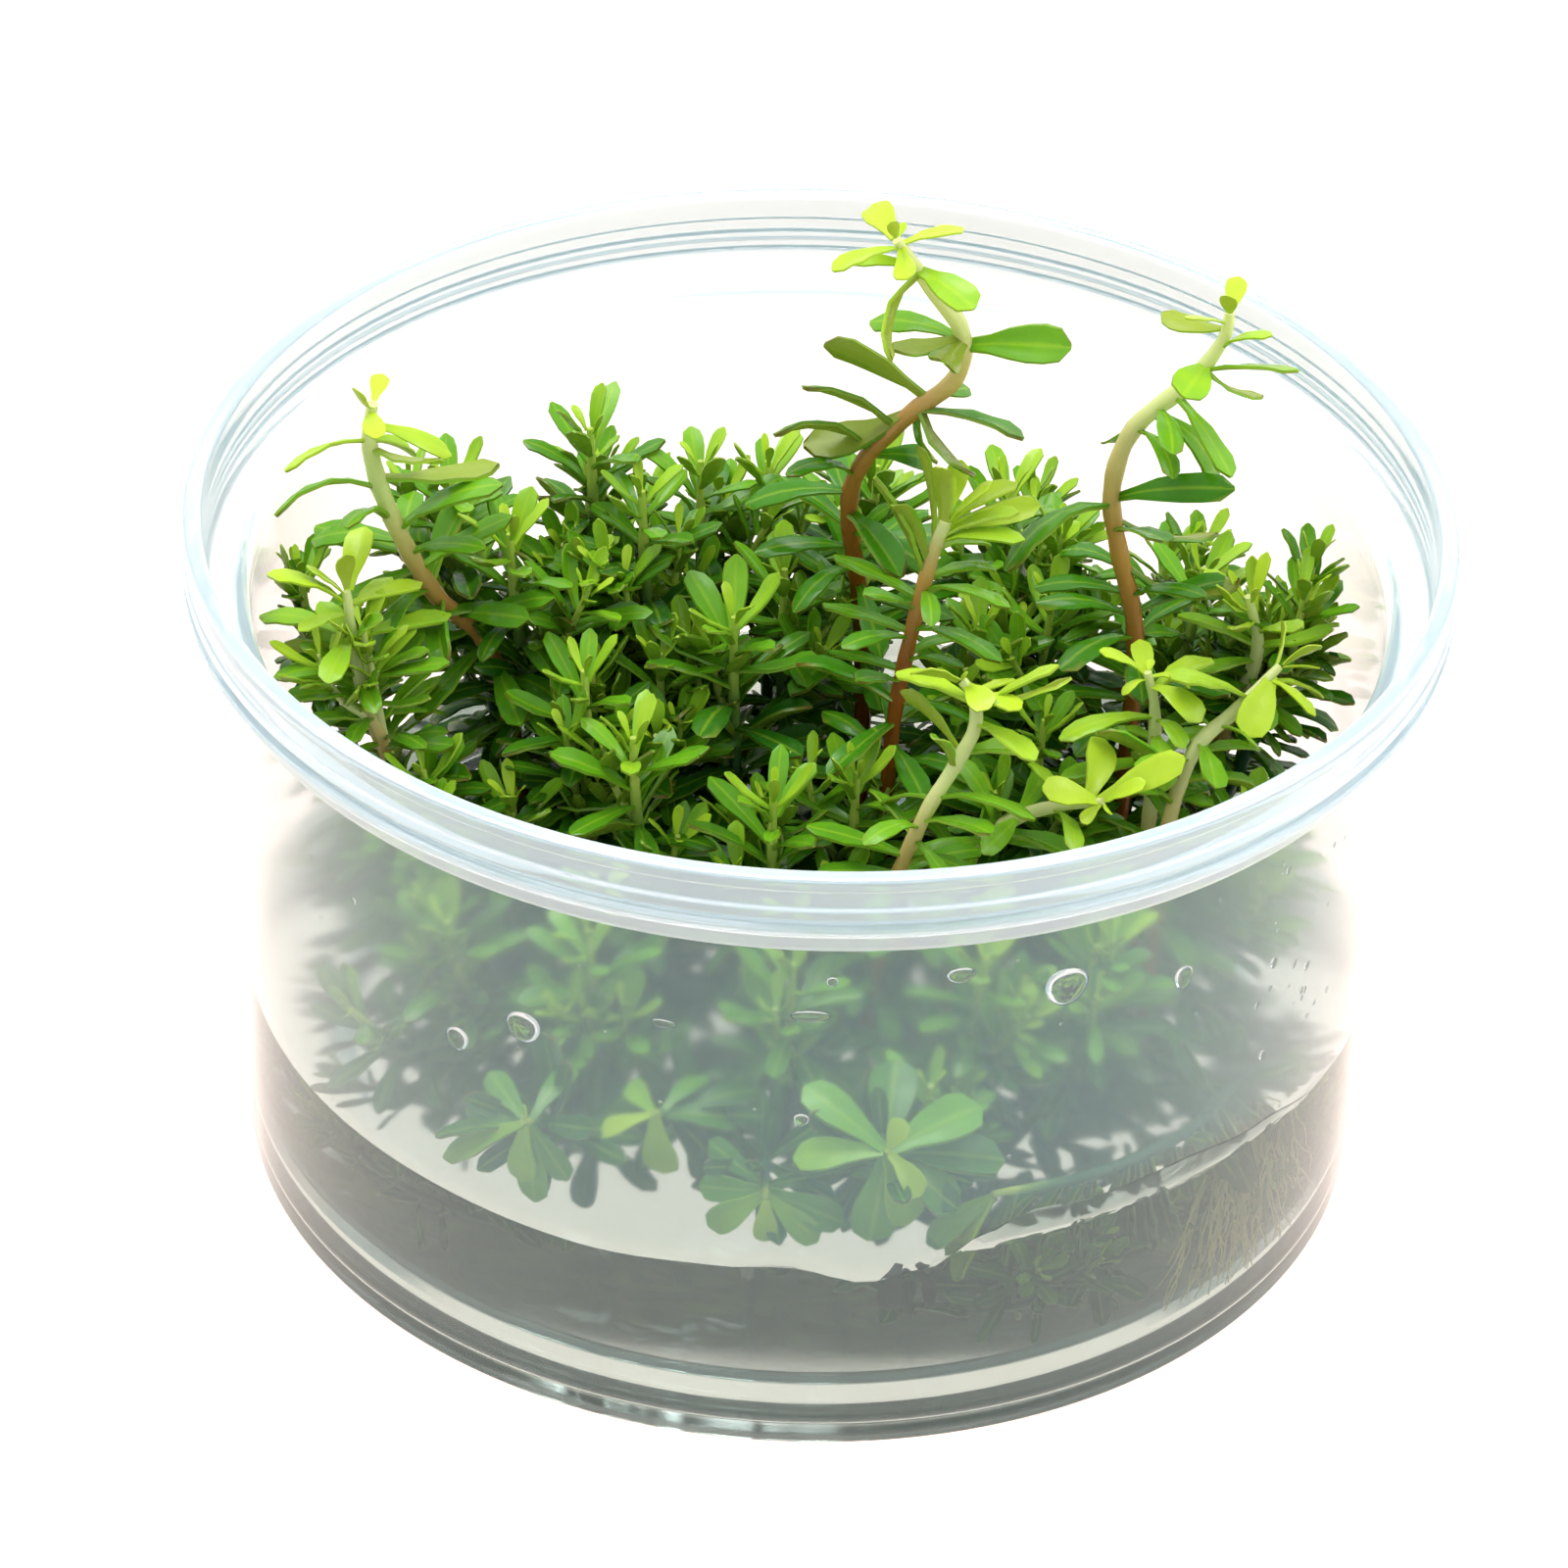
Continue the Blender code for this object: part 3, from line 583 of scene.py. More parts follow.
# Shoots
# Each shoot is a round stem with its leaves grown on it in crossed pairs, small and yellow green
# at the tip, larger and darker below. The tall ones stand out over the rim and bend as they please.
TALL_STEM_RADIUS = 0.74
DRAWN_STEM_RADIUS = 0.62
CLUMP_STEM_RADIUS = 0.50
FOOT_SPREAD = 0.78
STEM_FOOT = 4.4
FIRST_NODE = 1.1
NODE_STEPS = (2.2, 3.2, 3.9)
NODE_SWELL = 0.06
STEM_STEP = 0.9
STEM_TAPER = 7
# Ranges of a leaf's length and width against the shoot's usual leaf, and its rise from the stem in
# degrees: least far down, how much more at the tip, and over how many millimetres that fades
LEAF_LENGTHS = (0.82, 1.06)
LEAF_WIDTHS = (0.92, 1.18)
LEAF_RISE = 4
TIP_RISE = 64
TIP_RISE_FADE = 5.5
LOWEST_LEAF = 5.5
LOWEST_WALL_LEAF = 15.0
SEEN_WIDTH = 1.12
LEAF_CLEARANCE = 0.5
FLOOR_CLEARANCE = 1.0
# Leaves turn from young to old over this many millimetres down a clump shoot and a drawn one, and
# stems this much more slowly
CLUMP_FADE = 5.0
DRAWN_FADE = 8.0
STEM_FADE_SHARE = 1.6
# Side shoots fork off between two distances down from the tip, further down where the shoot is near
# the wall, reach this far aside, and rise by a share of the distance that they forked off at
SIDE_SHOOTS = 3
FORK_START = 8
FORK_END = 18
OUTER_FORK_END = 24
FORK_REACH = (3.5, 6.5)
FORK_RISE = (0.45, 0.85)
OUTER_SHOOT_RADIUS = 26.0
# Runners creep from the foot towards the wall: radius and height of the tip, height of the knee
RUNNERS = 2
RUNNER_RADII = (37, 42)
RUNNER_HEIGHTS = (8, 17)
RUNNER_KNEES = (4.6, 7.5)
RUNNER_LEAF_FADE = 2.5
RUNNER_STEM_FADE = 1.5
# Angles round the cup, in degrees, between which the floor at the wall is free of runners
BARE_FLOOR = (-150, -75)

# Shoots drawn with the points their stems pass through, in millimetres, foot first: name, points, leaf
# length, turn of the first pair in degrees, and how long the shoot stays young and pale below its tip,
# where 0 is the usual and a shoot below 0 is older and darker
DRAWN_SHOOTS = (
    ("shoot_tall_centre",
     ((4, 12, STEM_FOOT), (4, 12, 30), (3.5, 12, 41), (2.2, 10.3, 51.5), (3.3, 9.1, 57), (6.6, 8, 62),
      (10.2, 7, 66.3), (10.4, 5.7, 71.5), (8, 5, 75.5), (5, 4, 80.5)), 9.0, 8, 0.5),
    ("shoot_tall_left",
     ((-22, 5, STEM_FOOT), (-24, 6, 28), (-26.5, 6, 39.5), (-31, 5, 45.5), (-34.5, 3.7, 54),
      (-36, 2.6, 61), (-35.6, 2, 65.5)), 9.0, 98, 0.5),
    ("shoot_tall_right",
     ((24, 5, STEM_FOOT), (25.5, 5, 30), (25.7, 6, 43), (24, 6.5, 50.7), (23.1, 7, 56.3),
      (24.5, 7.6, 61.7), (28.8, 8.2, 66), (31.2, 8.8, 69.6), (31.6, 9, 72)), 9.0, 12, 0.55),
    ("shoot_middle_upright",
     ((5, -3, STEM_FOOT), (6, -2.5, 30), (6.6, -2, 41.5), (8.6, 0, 52.7), (9.8, 0.4, 57), (9.6, 1, 61)),
     9.0, 50, -0.35),
    ("shoot_curled_tip",
     ((4, -13, STEM_FOOT), (6, -15, 28), (8.6, -16, 39), (11.5, -14.3, 44.4), (12.7, -13, 47),
      (12, -11.7, 49.4), (9.8, -10.5, 50.4)), 7.5, 70, 0.6),
    ("shoot_left_rim",
     ((-27, -4, STEM_FOOT), (-31, -4, 28), (-34.4, -4, 36.3), (-36.5, -3, 43), (-37.5, -2, 50)),
     8.0, 35, 0.2),
    ("shoot_right_bright",
     ((25, -7, STEM_FOOT), (27, -6, 30), (27.2, -4.5, 41.8), (26.3, -4, 46.5)), 7.5, 15, 0.5),
    ("shoot_right_leaning",
     ((26, -13, STEM_FOOT), (28, -11, 32), (30, -8, 41), (33.5, -5.5, 44), (37, -2.5, 46.5)), 7.5, 60, 0.5),
    ("shoot_right_rim",
     ((28, 13, STEM_FOOT), (33.5, 10.5, 30), (35.8, 8.6, 40), (34.7, 8, 46)), 7.5, 40, 0.3),
    ("shoot_front_arching",
     ((10, -7, STEM_FOOT), (12.4, -8.4, 28), (14.7, -10, 34.4), (18, -11.8, 38), (23, -14, 40.6)),
     7.5, 80, 0.6),
    ("shoot_wall_left",
     ((-22, -12, STEM_FOOT), (-28.5, -18, 16.5), (-33, -22, 22), (-35.2, -24, 25.5)), 7.5, 30, -0.7),
    ("shoot_wall_front_left",
     ((-12, -18, STEM_FOOT), (-16, -27, 16), (-19.6, -33.4, 22), (-21.2, -36.6, 24.5)), 7.5, 75, -0.88),
    ("shoot_wall_front",
     ((3, -18, STEM_FOOT), (5, -28, 15), (6.3, -36, 22), (6.8, -40.4, 26)), 7.5, 20, -0.88),
    ("shoot_wall_low",
     ((-3, -20, STEM_FOOT), (-3, -29, 14.5), (-2.6, -35, 20.5), (-2.4, -40.5, 21)), 6.5, 60, -0.9),
    ("shoot_wall_lying",
     ((-7, -14, STEM_FOOT), (-8, -23, 15.5), (-9, -29.5, 21), (-11.5, -34, 24)), 7.0, 10, -0.9),
    ("shoot_waterline",
     ((35, -18, 18.8), (30.5, -27.5, 19.6), (23, -34.8, 20.2), (15, -39, 21)), 6.5, 65, -0.75),
)

# Leaves of the shoots that stand out, as they are seen in the picture, listed one by one: distance
# down from the stem's end, the tip's offset to the right and up, whether it points away (+1) or to the
# viewer (-1), length, all in millimetres, then the blade's number, its width and its roll in degrees
SEEN_LEAVES = {
    "shoot_tall_centre": (
        (0.0, -1.8, 2.9, 1, 5.6, 4, 1.30, 0), (0.3, 4.7, 1.3, 1, 5.4, 1, 1.45, -10),
        (0.0, -0.4, 1.1, -1, 2.4, 0, 1.3, 0), (0.0, 0.4, 1.3, 1, 2.2, 0, 1.2, 0),
        (0.6, 0.3, -2.6, -1, 4.4, 0, 1.35, 0), (0.6, -5.0, -1.9, -1, 5.6, 4, 1.2, 10),
        (2.8, -5.4, 0.6, 1, 6.0, 1, 1.0, 0), (3.2, 4.2, -3.2, -1, 6.2, 4, 1.45, -8),
        (6.0, 2.6, -0.4, 1, 5.0, 3, 1.0, 50), (3.4, -2.3, -7.6, -1, 8.4, 3, 0.9, 70),
        (11.3, -7.1, 1.3, 1, 8.2, 2, 1.05, 0), (11.5, -5.3, -1.2, -1, 6.6, 1, 1.2, 175),
        (11.8, -1.6, -2.0, -1, 6.2, 6, 1.4, 150), (12.2, 8.0, -0.4, -1, 8.6, 5, 1.45, 35),
        (19.2, -8.1, 4.4, 1, 9.6, 5, 1.05, 60), (23.2, -7.4, 2.9, -1, 8.6, 2, 0.95, 55),
        (21.5, -8.4, -2.4, 1, 9.4, 2, 1.25, 160), (26.3, -8.3, 0.9, -1, 9.4, 3, 0.95, 45),
        (20.5, 7.9, -2.5, -1, 8.8, 4, 1.15, -15), (18.6, 2.5, 0.8, 1, 5.6, 1, 1.1, 0),
        (20.8, 4.3, -5.6, -1, 8.4, 2, 1.15, 165), (21.0, 1.6, -3.8, 1, 7.0, 2, 1.1, 175),
        (29.5, -5.8, -0.4, -1, 7.6, 3, 1.0, 10), (31.5, -8.4, -1.1, 1, 9.0, 2, 1.0, 0),
        (27.2, 4.9, -0.4, 1, 7.4, 3, 1.0, 35)),
    "shoot_tall_right": (
        (0.4, 0.9, 3.2, 1, 4.6, 1, 1.35, 0), (0.2, -0.2, 1.2, -1, 2.8, 0, 1.6, 0),
        (0.0, 0.3, 0.9, 1, 2.0, 0, 1.3, 0), (1.6, -4.7, 1.4, 1, 5.6, 4, 1.15, 170),
        (0.8, -3.2, 0.2, -1, 4.0, 1, 1.2, 10), (3.0, 3.7, 0.6, -1, 5.2, 2, 1.1, 25),
        (5.2, 6.9, -0.4, -1, 8.0, 1, 1.15, -10), (5.4, 4.9, -2.0, 1, 6.8, 2, 1.1, 170),
        (4.8, -2.0, -2.7, -1, 6.2, 4, 1.45, 0), (8.2, 3.9, -6.5, -1, 8.6, 1, 1.1, 0),
        (10.5, 5.4, -6.6, 1, 10.2, 3, 1.0, 20), (10.0, 0.8, -4.0, -1, 6.8, 7, 1.3, 20),
        (12.5, 2.8, -4.4, -1, 6.2, 3, 1.1, 0), (12.0, -2.4, -1.5, 1, 5.0, 4, 1.1, 160),
        (19.3, 10.0, 0.6, -1, 10.8, 3, 0.8, 50), (19.5, -9.0, -6.0, -1, 11.8, 3, 0.9, 10),
        (22.0, 3.6, -1.2, -1, 6.6, 4, 1.4, -20), (21.5, 8.5, -1.0, 1, 9.8, 2, 1.15, 165),
        (26.0, 10.0, -0.8, 1, 10.8, 3, 1.05, 165), (25.4, -4.5, 1.2, 1, 7.5, 2, 1.0, 0)),
    "shoot_tall_left": (
        (0.6, 0.5, 2.3, 1, 3.8, 1, 1.45, 0), (1.2, -0.9, 1.3, -1, 3.4, 0, 1.3, 0),
        (1.2, 0.4, -2.2, -1, 4.2, 4, 1.3, 0), (2.5, 6.2, -2.4, 1, 7.2, 2, 0.85, 30),
        (4.0, -6.3, -2.7, -1, 7.4, 2, 0.85, 40), (4.2, 3.1, -1.0, 1, 5.2, 6, 1.2, 0),
        (5.4, 5.6, -1.0, -1, 6.8, 4, 1.25, 150), (8.6, 9.2, 1.1, 1, 9.6, 1, 1.15, 165),
        (8.8, -8.3, -2.8, -1, 9.4, 3, 0.95, 30), (13.6, 8.5, 3.2, -1, 9.8, 2, 1.15, 0),
        (12.4, -3.3, -1.2, -1, 7.2, 3, 1.15, 10), (15.0, -7.4, 0.0, 1, 8.8, 2, 1.0, 0),
        (15.0, 0.6, 3.8, 1, 6.8, 1, 1.15, 0)),
    "shoot_middle_upright": (
        (4.0, 1.2, 4.6, 1, 5.2, 1, 1.3, 0), (4.0, 5.4, 3.0, 1, 6.4, 4, 1.0, 0),
        (4.2, 3.4, 3.0, -1, 5.0, 1, 1.2, 0), (4.6, 7.4, 1.8, 1, 8.0, 5, 1.0, 50),
        (4.8, -0.4, 4.6, -1, 5.4, 6, 1.25, 60), (5.2, 5.8, 1.6, -1, 6.4, 4, 1.0, 0),
        (5.6, 6.5, -0.2, -1, 7.2, 2, 0.9, 20), (6.2, -1.3, 7.6, 1, 8.2, 5, 0.9, 60),
        (6.4, 4.2, 0.4, 1, 6.6, 2, 1.1, 0), (8.2, -2.8, 4.5, -1, 6.4, 6, 1.0, 40),
        (9.0, -3.9, 7.4, -1, 9.2, 1, 0.9, 20), (9.2, 5.5, 0.8, 1, 7.0, 2, 0.95, 0),
        (10.0, 6.7, -1.8, -1, 8.2, 2, 0.95, 0), (10.2, 0.6, -3.2, -1, 5.6, 3, 1.0, 0),
        (11.0, -6.6, 3.3, 1, 8.0, 1, 1.0, 0), (12.0, -4.1, 1.0, -1, 5.6, 4, 1.0, 0),
        (13.4, 6.8, -3.0, -1, 8.8, 2, 1.05, 0), (14.0, -6.8, 2.2, 1, 8.2, 1, 0.95, 0),
        (14.4, -5.4, -1.0, -1, 6.6, 2, 1.0, 0), (16.0, 4.2, 1.3, 1, 6.2, 2, 1.0, 0),
        (16.4, 4.4, -0.8, -1, 6.4, 2, 0.95, 0), (17.4, -5.6, 1.5, 1, 7.2, 1, 1.0, 0),
        (18.4, -3.4, 0.0, -1, 5.6, 4, 1.0, 0)),
    "shoot_curled_tip": (
        (2.0, -3.7, 0.6, -1, 4.4, 4, 1.5, 0), (2.2, 1.7, -1.9, -1, 3.8, 4, 1.7, 0),
        (2.0, 0.1, 0.5, -1, 1.6, 0, 1.4, 0), (3.2, 3.5, -1.2, -1, 4.4, 4, 1.55, 0),
        (3.4, 3.0, 1.3, 1, 4.8, 1, 1.4, 0), (4.0, -5.9, 2.3, 1, 6.8, 4, 1.0, 0),
        (4.4, 6.1, 3.2, -1, 7.2, 1, 1.0, 0), (4.6, 7.3, 2.3, 1, 8.0, 1, 1.15, 160),
        (5.4, 4.3, -3.0, -1, 5.8, 4, 1.45, 0), (8.0, 5.6, -0.2, 1, 6.8, 6, 1.0, 20),
        (8.2, -4.5, 4.7, 1, 7.4, 5, 0.8, 50), (9.6, -1.6, 2.2, -1, 4.6, 6, 1.3, 0),
        (12.0, 7.5, -2.0, -1, 8.2, 2, 1.3, 0), (12.4, -4.0, -0.5, 1, 6.0, 2, 1.1, 0),
        (14.4, 5.1, -1.1, -1, 6.8, 4, 1.15, 0), (15.0, -4.6, -1.6, -1, 6.4, 3, 1.1, 0)),
    "shoot_left_rim": (
        (0.4, 1.1, 5.2, 1, 6.0, 4, 1.15, 0), (0.2, 0.0, 2.6, -1, 3.2, 1, 1.9, 0),
        (0.4, -2.8, 2.0, -1, 4.0, 1, 1.6, 0), (1.0, -6.0, 2.0, -1, 7.2, 2, 1.0, 0),
        (1.2, 5.4, 1.7, 1, 6.6, 1, 1.1, 0), (2.0, -3.6, -1.4, -1, 4.6, 4, 1.0, 0),
        (2.2, 3.0, 3.0, 1, 5.6, 2, 1.1, 0), (4.0, -7.7, 1.6, 1, 8.4, 2, 0.95, 0),
        (4.2, 7.4, 1.9, 1, 8.4, 1, 0.95, 0), (4.0, -1.6, -3.7, -1, 6.0, 4, 1.1, 0),
        (4.8, 2.3, 1.8, -1, 4.6, 6, 1.2, 30), (5.4, -5.8, 0.2, 1, 6.6, 5, 0.8, 60),
        (7.4, -6.4, -0.4, -1, 7.2, 2, 1.0, 0), (8.0, 6.9, 1.3, -1, 7.8, 1, 0.95, 0),
        (8.4, 1.4, -2.4, -1, 6.0, 3, 1.0, 0), (10.6, -4.2, -1.0, 1, 6.2, 2, 1.0, 0),
        (11.4, 5.6, 0.4, 1, 6.8, 2, 1.0, 0), (14.0, 5.6, 0.0, -1, 7.0, 1, 1.0, 0)),
    "shoot_right_bright": (
        (0.4, -3.7, 1.8, -1, 4.4, 2, 1.3, 0), (0.6, -2.0, -1.4, -1, 2.8, 3, 1.4, 0),
        (0.4, 3.4, -1.0, 1, 3.9, 3, 1.2, 0), (1.2, 4.0, -3.1, -1, 5.6, 3, 1.5, 0),
        (0.2, 0.3, 0.9, 1, 1.6, 0, 1.4, 0), (1.4, -0.7, 3.5, 1, 5.2, 1, 1.2, 0),
        (1.8, 4.6, 2.5, 1, 6.4, 4, 1.2, 0), (4.0, -7.6, -2.0, -1, 8.2, 2, 0.9, 0),
        (4.2, 2.2, -2.6, -1, 4.6, 3, 1.2, 0), (5.6, 0.6, -4.8, -1, 6.6, 3, 1.3, 0),
        (6.2, -2.6, 1.0, 1, 5.6, 1, 1.1, 0), (8.0, -7.2, -1.3, -1, 7.8, 1, 1.1, 0),
        (8.4, 4.3, 3.0, 1, 6.8, 2, 1.0, 0), (11.0, -1.0, 3.0, -1, 5.0, 4, 1.4, 0),
        (11.4, 4.6, -0.6, -1, 6.4, 2, 1.1, 0)),
    "shoot_right_leaning": (
        (0.2, 3.0, 1.5, -1, 3.6, 4, 1.25, 0), (0.2, 2.8, -0.1, -1, 3.2, 1, 1.2, 0),
        (0.6, 0.7, 3.6, 1, 4.6, 5, 1.0, 50), (0.8, -2.3, -4.9, -1, 6.0, 4, 1.45, 0),
        (1.4, 3.4, -3.0, -1, 5.2, 2, 0.9, 30), (1.6, 4.5, -1.4, 1, 5.6, 2, 1.3, 0),
        (3.6, -6.2, 1.4, -1, 7.0, 4, 1.55, 0), (4.2, 0.6, -3.0, 1, 4.8, 3, 1.1, 0),
        (7.0, 2.7, -1.8, -1, 4.6, 2, 1.2, 0), (7.4, -3.6, 2.2, 1, 5.8, 1, 1.1, 0),
        (9.0, 0.9, -3.5, -1, 5.4, 4, 1.4, 0), (10.2, 5.5, 0.5, 1, 6.6, 2, 1.1, 0),
        (10.6, -4.4, -1.0, -1, 6.2, 2, 1.1, 0)),
    "shoot_front_arching": (
        (0.2, -4.4, 1.0, -1, 5.0, 4, 1.45, 0), (0.0, 3.0, 1.4, -1, 3.8, 4, 1.1, 0),
        (0.0, -1.5, -1.4, -1, 2.2, 0, 1.6, 0), (0.0, 0.4, -0.8, -1, 1.6, 0, 1.5, 0),
        (0.8, 6.7, 3.4, -1, 7.9, 1, 1.1, 0), (1.4, 1.3, 4.9, 1, 6.0, 4, 1.4, 0),
        (4.0, -2.0, 3.4, 1, 5.6, 2, 1.1, 0), (4.4, 1.4, -3.6, -1, 5.6, 3, 1.2, 0),
        (8.0, -3.0, -2.8, -1, 6.0, 2, 1.1, 0), (8.4, 2.4, 3.6, 1, 6.2, 2, 1.1, 0)),
    "shoot_wall_front_left": (
        (0.0, 0.2, 1.0, -1, 2.0, 0, 1.5, 0), (0.4, -7.2, -3.4, 1, 8.2, 1, 0.95, 0),
        (0.6, 0.6, -6.2, 1, 7.2, 1, 1.25, 0), (0.3, -0.2, -4.6, 1, 5.4, 4, 1.3, 0),
        (1.0, 2.9, -4.4, 1, 5.8, 1, 1.2, 0), (1.0, -3.0, 3.7, 1, 6.2, 1, 1.2, 0),
        (1.4, 3.2, 4.3, 1, 6.6, 2, 1.1, 0), (1.4, -7.2, -1.2, 1, 7.8, 5, 0.9, 20),
        (1.8, -5.2, 0.8, 1, 6.2, 2, 0.9, 0), (2.2, 6.1, -0.6, 1, 7.0, 5, 0.9, 0)),
    "shoot_wall_front": (
        (0.2, 1.1, 2.2, -1, 2.8, 4, 1.9, 0), (0.2, 2.5, -3.4, 1, 4.4, 4, 1.4, 0),
        (0.8, -6.2, 4.9, 1, 8.2, 4, 1.05, 0), (0.6, -7.0, -0.6, 1, 7.4, 4, 1.1, 0),
        (1.8, 0.8, 7.0, 1, 8.2, 4, 1.35, 0), (0.8, 7.0, 3.4, 1, 8.2, 4, 1.35, 0),
        (1.8, 9.0, -0.6, 1, 9.4, 4, 1.1, 0), (1.0, -1.2, -7.0, 1, 8.2, 4, 1.25, 0),
        (0.6, 1.7, -5.7, 1, 6.8, 4, 1.4, 0), (1.2, 5.4, -4.6, 1, 7.6, 4, 1.3, 0)),
    "shoot_wall_low": (
        (0.2, 0.0, -3.4, 1, 4.0, 4, 1.4, 0), (0.6, -4.2, -2.6, 1, 5.4, 4, 1.3, 0),
        (1.0, -4.9, 0.2, 1, 5.4, 4, 1.2, 0), (0.6, 3.9, -3.7, 1, 5.8, 4, 1.1, 0),
        (1.0, 5.9, -2.5, 1, 6.8, 4, 1.15, 0), (1.6, -4.3, 3.4, 1, 6.0, 2, 1.2, 0),
        (1.6, 6.0, 1.2, 1, 6.8, 1, 1.1, 0)),
    "shoot_wall_lying": (
        (0.4, -4.3, -1.5, 1, 5.0, 1, 1.2, 0), (0.6, 0.8, -4.6, 1, 5.6, 4, 1.5, 0),
        (0.8, -2.0, 2.2, 1, 4.6, 4, 1.2, 0), (1.6, 3.5, 2.9, 1, 6.0, 2, 1.2, 0),
        (1.8, 6.0, -0.5, 1, 6.8, 4, 1.1, 0), (3.0, 3.2, -3.4, 1, 6.2, 4, 1.2, 0),
        (3.4, 7.0, 1.8, 1, 7.6, 2, 1.1, 0), (4.6, 5.2, -2.4, 1, 6.8, 2, 1.2, 0)),
    "shoot_waterline": (
        (0.0, -3.1, -6.2, 1, 7.6, 4, 1.1, 0), (0.5, -5.3, -4.2, 1, 7.2, 4, 1.1, 0),
        (2.0, -1.4, -5.4, 1, 6.6, 4, 1.1, 0), (4.0, -4.2, -4.6, 1, 6.8, 4, 1.05, 0),
        (6.0, -2.5, -5.0, 1, 6.4, 4, 1.1, 0), (8.0, -1.4, -4.0, 1, 5.2, 4, 1.3, 0),
        (9.0, -0.5, -4.3, 1, 5.2, 1, 1.3, 0), (12.0, -0.3, -5.6, 1, 6.8, 4, 1.2, 0),
        (13.0, 0.9, -7.0, 1, 8.4, 4, 1.2, 0), (14.0, 2.2, -6.8, 1, 8.4, 4, 1.2, 0),
        (17.0, 0.8, -3.9, 1, 5.0, 4, 1.2, 0), (18.0, 2.6, -0.6, 1, 3.6, 4, 1.3, 0),
        (19.0, 0.8, -3.0, 1, 4.0, 1, 1.3, 0), (20.0, 2.6, -3.9, 1, 5.6, 4, 1.2, 0),
        (22.0, 3.0, -6.0, 1, 7.8, 4, 1.1, 0), (23.0, -0.8, 3.2, 1, 4.4, 1, 1.2, 0)),
}

# The clump's other shoots, by where they stand: tip x, y, z, leaf length, turn
CLUMP = {
    "left": ((-42, 8, 45, 7.0, 15), (-30, 12, 52, 7.5, 55), (-25, 7, 50, 8.5, 20), (-21.5, 11, 44, 7.0, 70),
             (-18.5, -2.6, 43.5, 8.0, 35), (-24, -7, 34, 7.0, 80), (-31, -8, 37, 7.5, 5)),
    "middle": ((-19, 17, 54, 8.0, 40), (-14.5, 11, 52, 8.0, 10), (-10, 19, 50, 7.5, 65),
               (-6.7, 2.2, 46, 9.0, 30), (-12.6, 2.5, 42, 7.5, 75), (-14.3, -9.6, 42, 8.5, 50),
               (-3, -12.6, 39, 8.0, 5), (-2.8, 11, 45, 7.5, 55), (3.6, -7.5, 38, 7.5, 25)),
    "right": ((15.5, 20, 48, 7.5, 60), (19.8, 16.5, 46, 8.0, 15), (19, 9.5, 44, 7.5, 80),
              (13.2, 7, 43, 7.5, 45), (31.4, 15, 44, 7.5, 30), (39.6, 10, 46, 7.0, 70),
              (18.5, -2, 40, 7.5, 5)),
    "back": ((-4.5, 22.5, 48, 7.5, 20), (4.5, 24, 47, 7.5, 50), (-30, 25, 39, 7.5, 75),
             (-15, 30, 40, 7.5, 10), (3, 33, 39, 7.5, 60), (18, 30, 40, 7.5, 35), (29, 25, 39, 7.5, 0)),
    "front": ((-28, -19, 31, 7.5, 60), (-17, -21, 32, 7.5, 25), (-1, -24.5, 32, 7.5, 70),
              (14, -24, 33, 7.5, 40), (24, -21, 33, 7.5, 10), (35, -8, 36, 7.0, 50),
              (10, -33, 27, 6.5, 80)),
}


def smooth_path(points):
    """Closely spaced places on a smooth curve through the given points, with lengths from the foot."""
    knots = [Vector(point) for point in points]
    knots = [knots[0] * 2 - knots[1]] + knots + [knots[-1] * 2 - knots[-2]]
    places = []
    for a, b, c, d in zip(knots, knots[1:], knots[2:], knots[3:]):
        for i in range(10):
            t = i / 10
            places.append(0.5 * (2 * b + (c - a) * t + (2 * a - 5 * b + 4 * c - d) * t ** 2
                                 + (3 * b - a - 3 * c + d) * t ** 3))
    places.append(knots[-2])
    lengths = [0.0]
    for last, place in zip(places, places[1:]):
        lengths.append(lengths[-1] + (place - last).length)
    return places, lengths


class Stem:
    """A stem's curve, with the frame that its leaves turn by."""

    def __init__(self, points, turn, radius):
        self.places, self.lengths = smooth_path(points)
        self.length = self.lengths[-1]
        self.turn = math.radians(turn)
        self.radius = radius

    def frame(self, down):
        """Centre, tangent and the two side directions at a distance down from the tip."""
        along = min(max(self.length - down, 0.0), self.length)
        i = 0
        while i < len(self.lengths) - 2 and self.lengths[i + 1] < along:
            i += 1
        span = self.lengths[i + 1] - self.lengths[i]
        centre = self.places[i].lerp(self.places[i + 1], (along - self.lengths[i]) / span)
        tangent = (self.places[i + 1] - self.places[i]).normalized()
        ahead = Vector((math.cos(self.turn), math.sin(self.turn), 0))
        first = (ahead - tangent * ahead.dot(tangent)).normalized()
        return centre, tangent, first, tangent.cross(first)


def inside_cup(point):
    """True where a point in millimetres is clear of the floor and the wall, or is above the rim."""
    radius = math.hypot(point.x, point.y)
    if point.z < FLOOR_TOP + FLOOR_CLEARANCE:
        return False
    if point.z > CUP_HEIGHT + 0.5:
        return True
    if point.z > LEDGE_HEIGHT:
        return radius < LEDGE_RADIUS - LEAF_CLEARANCE
    return radius < wall_inner_radius(point.z) - LEAF_CLEARANCE


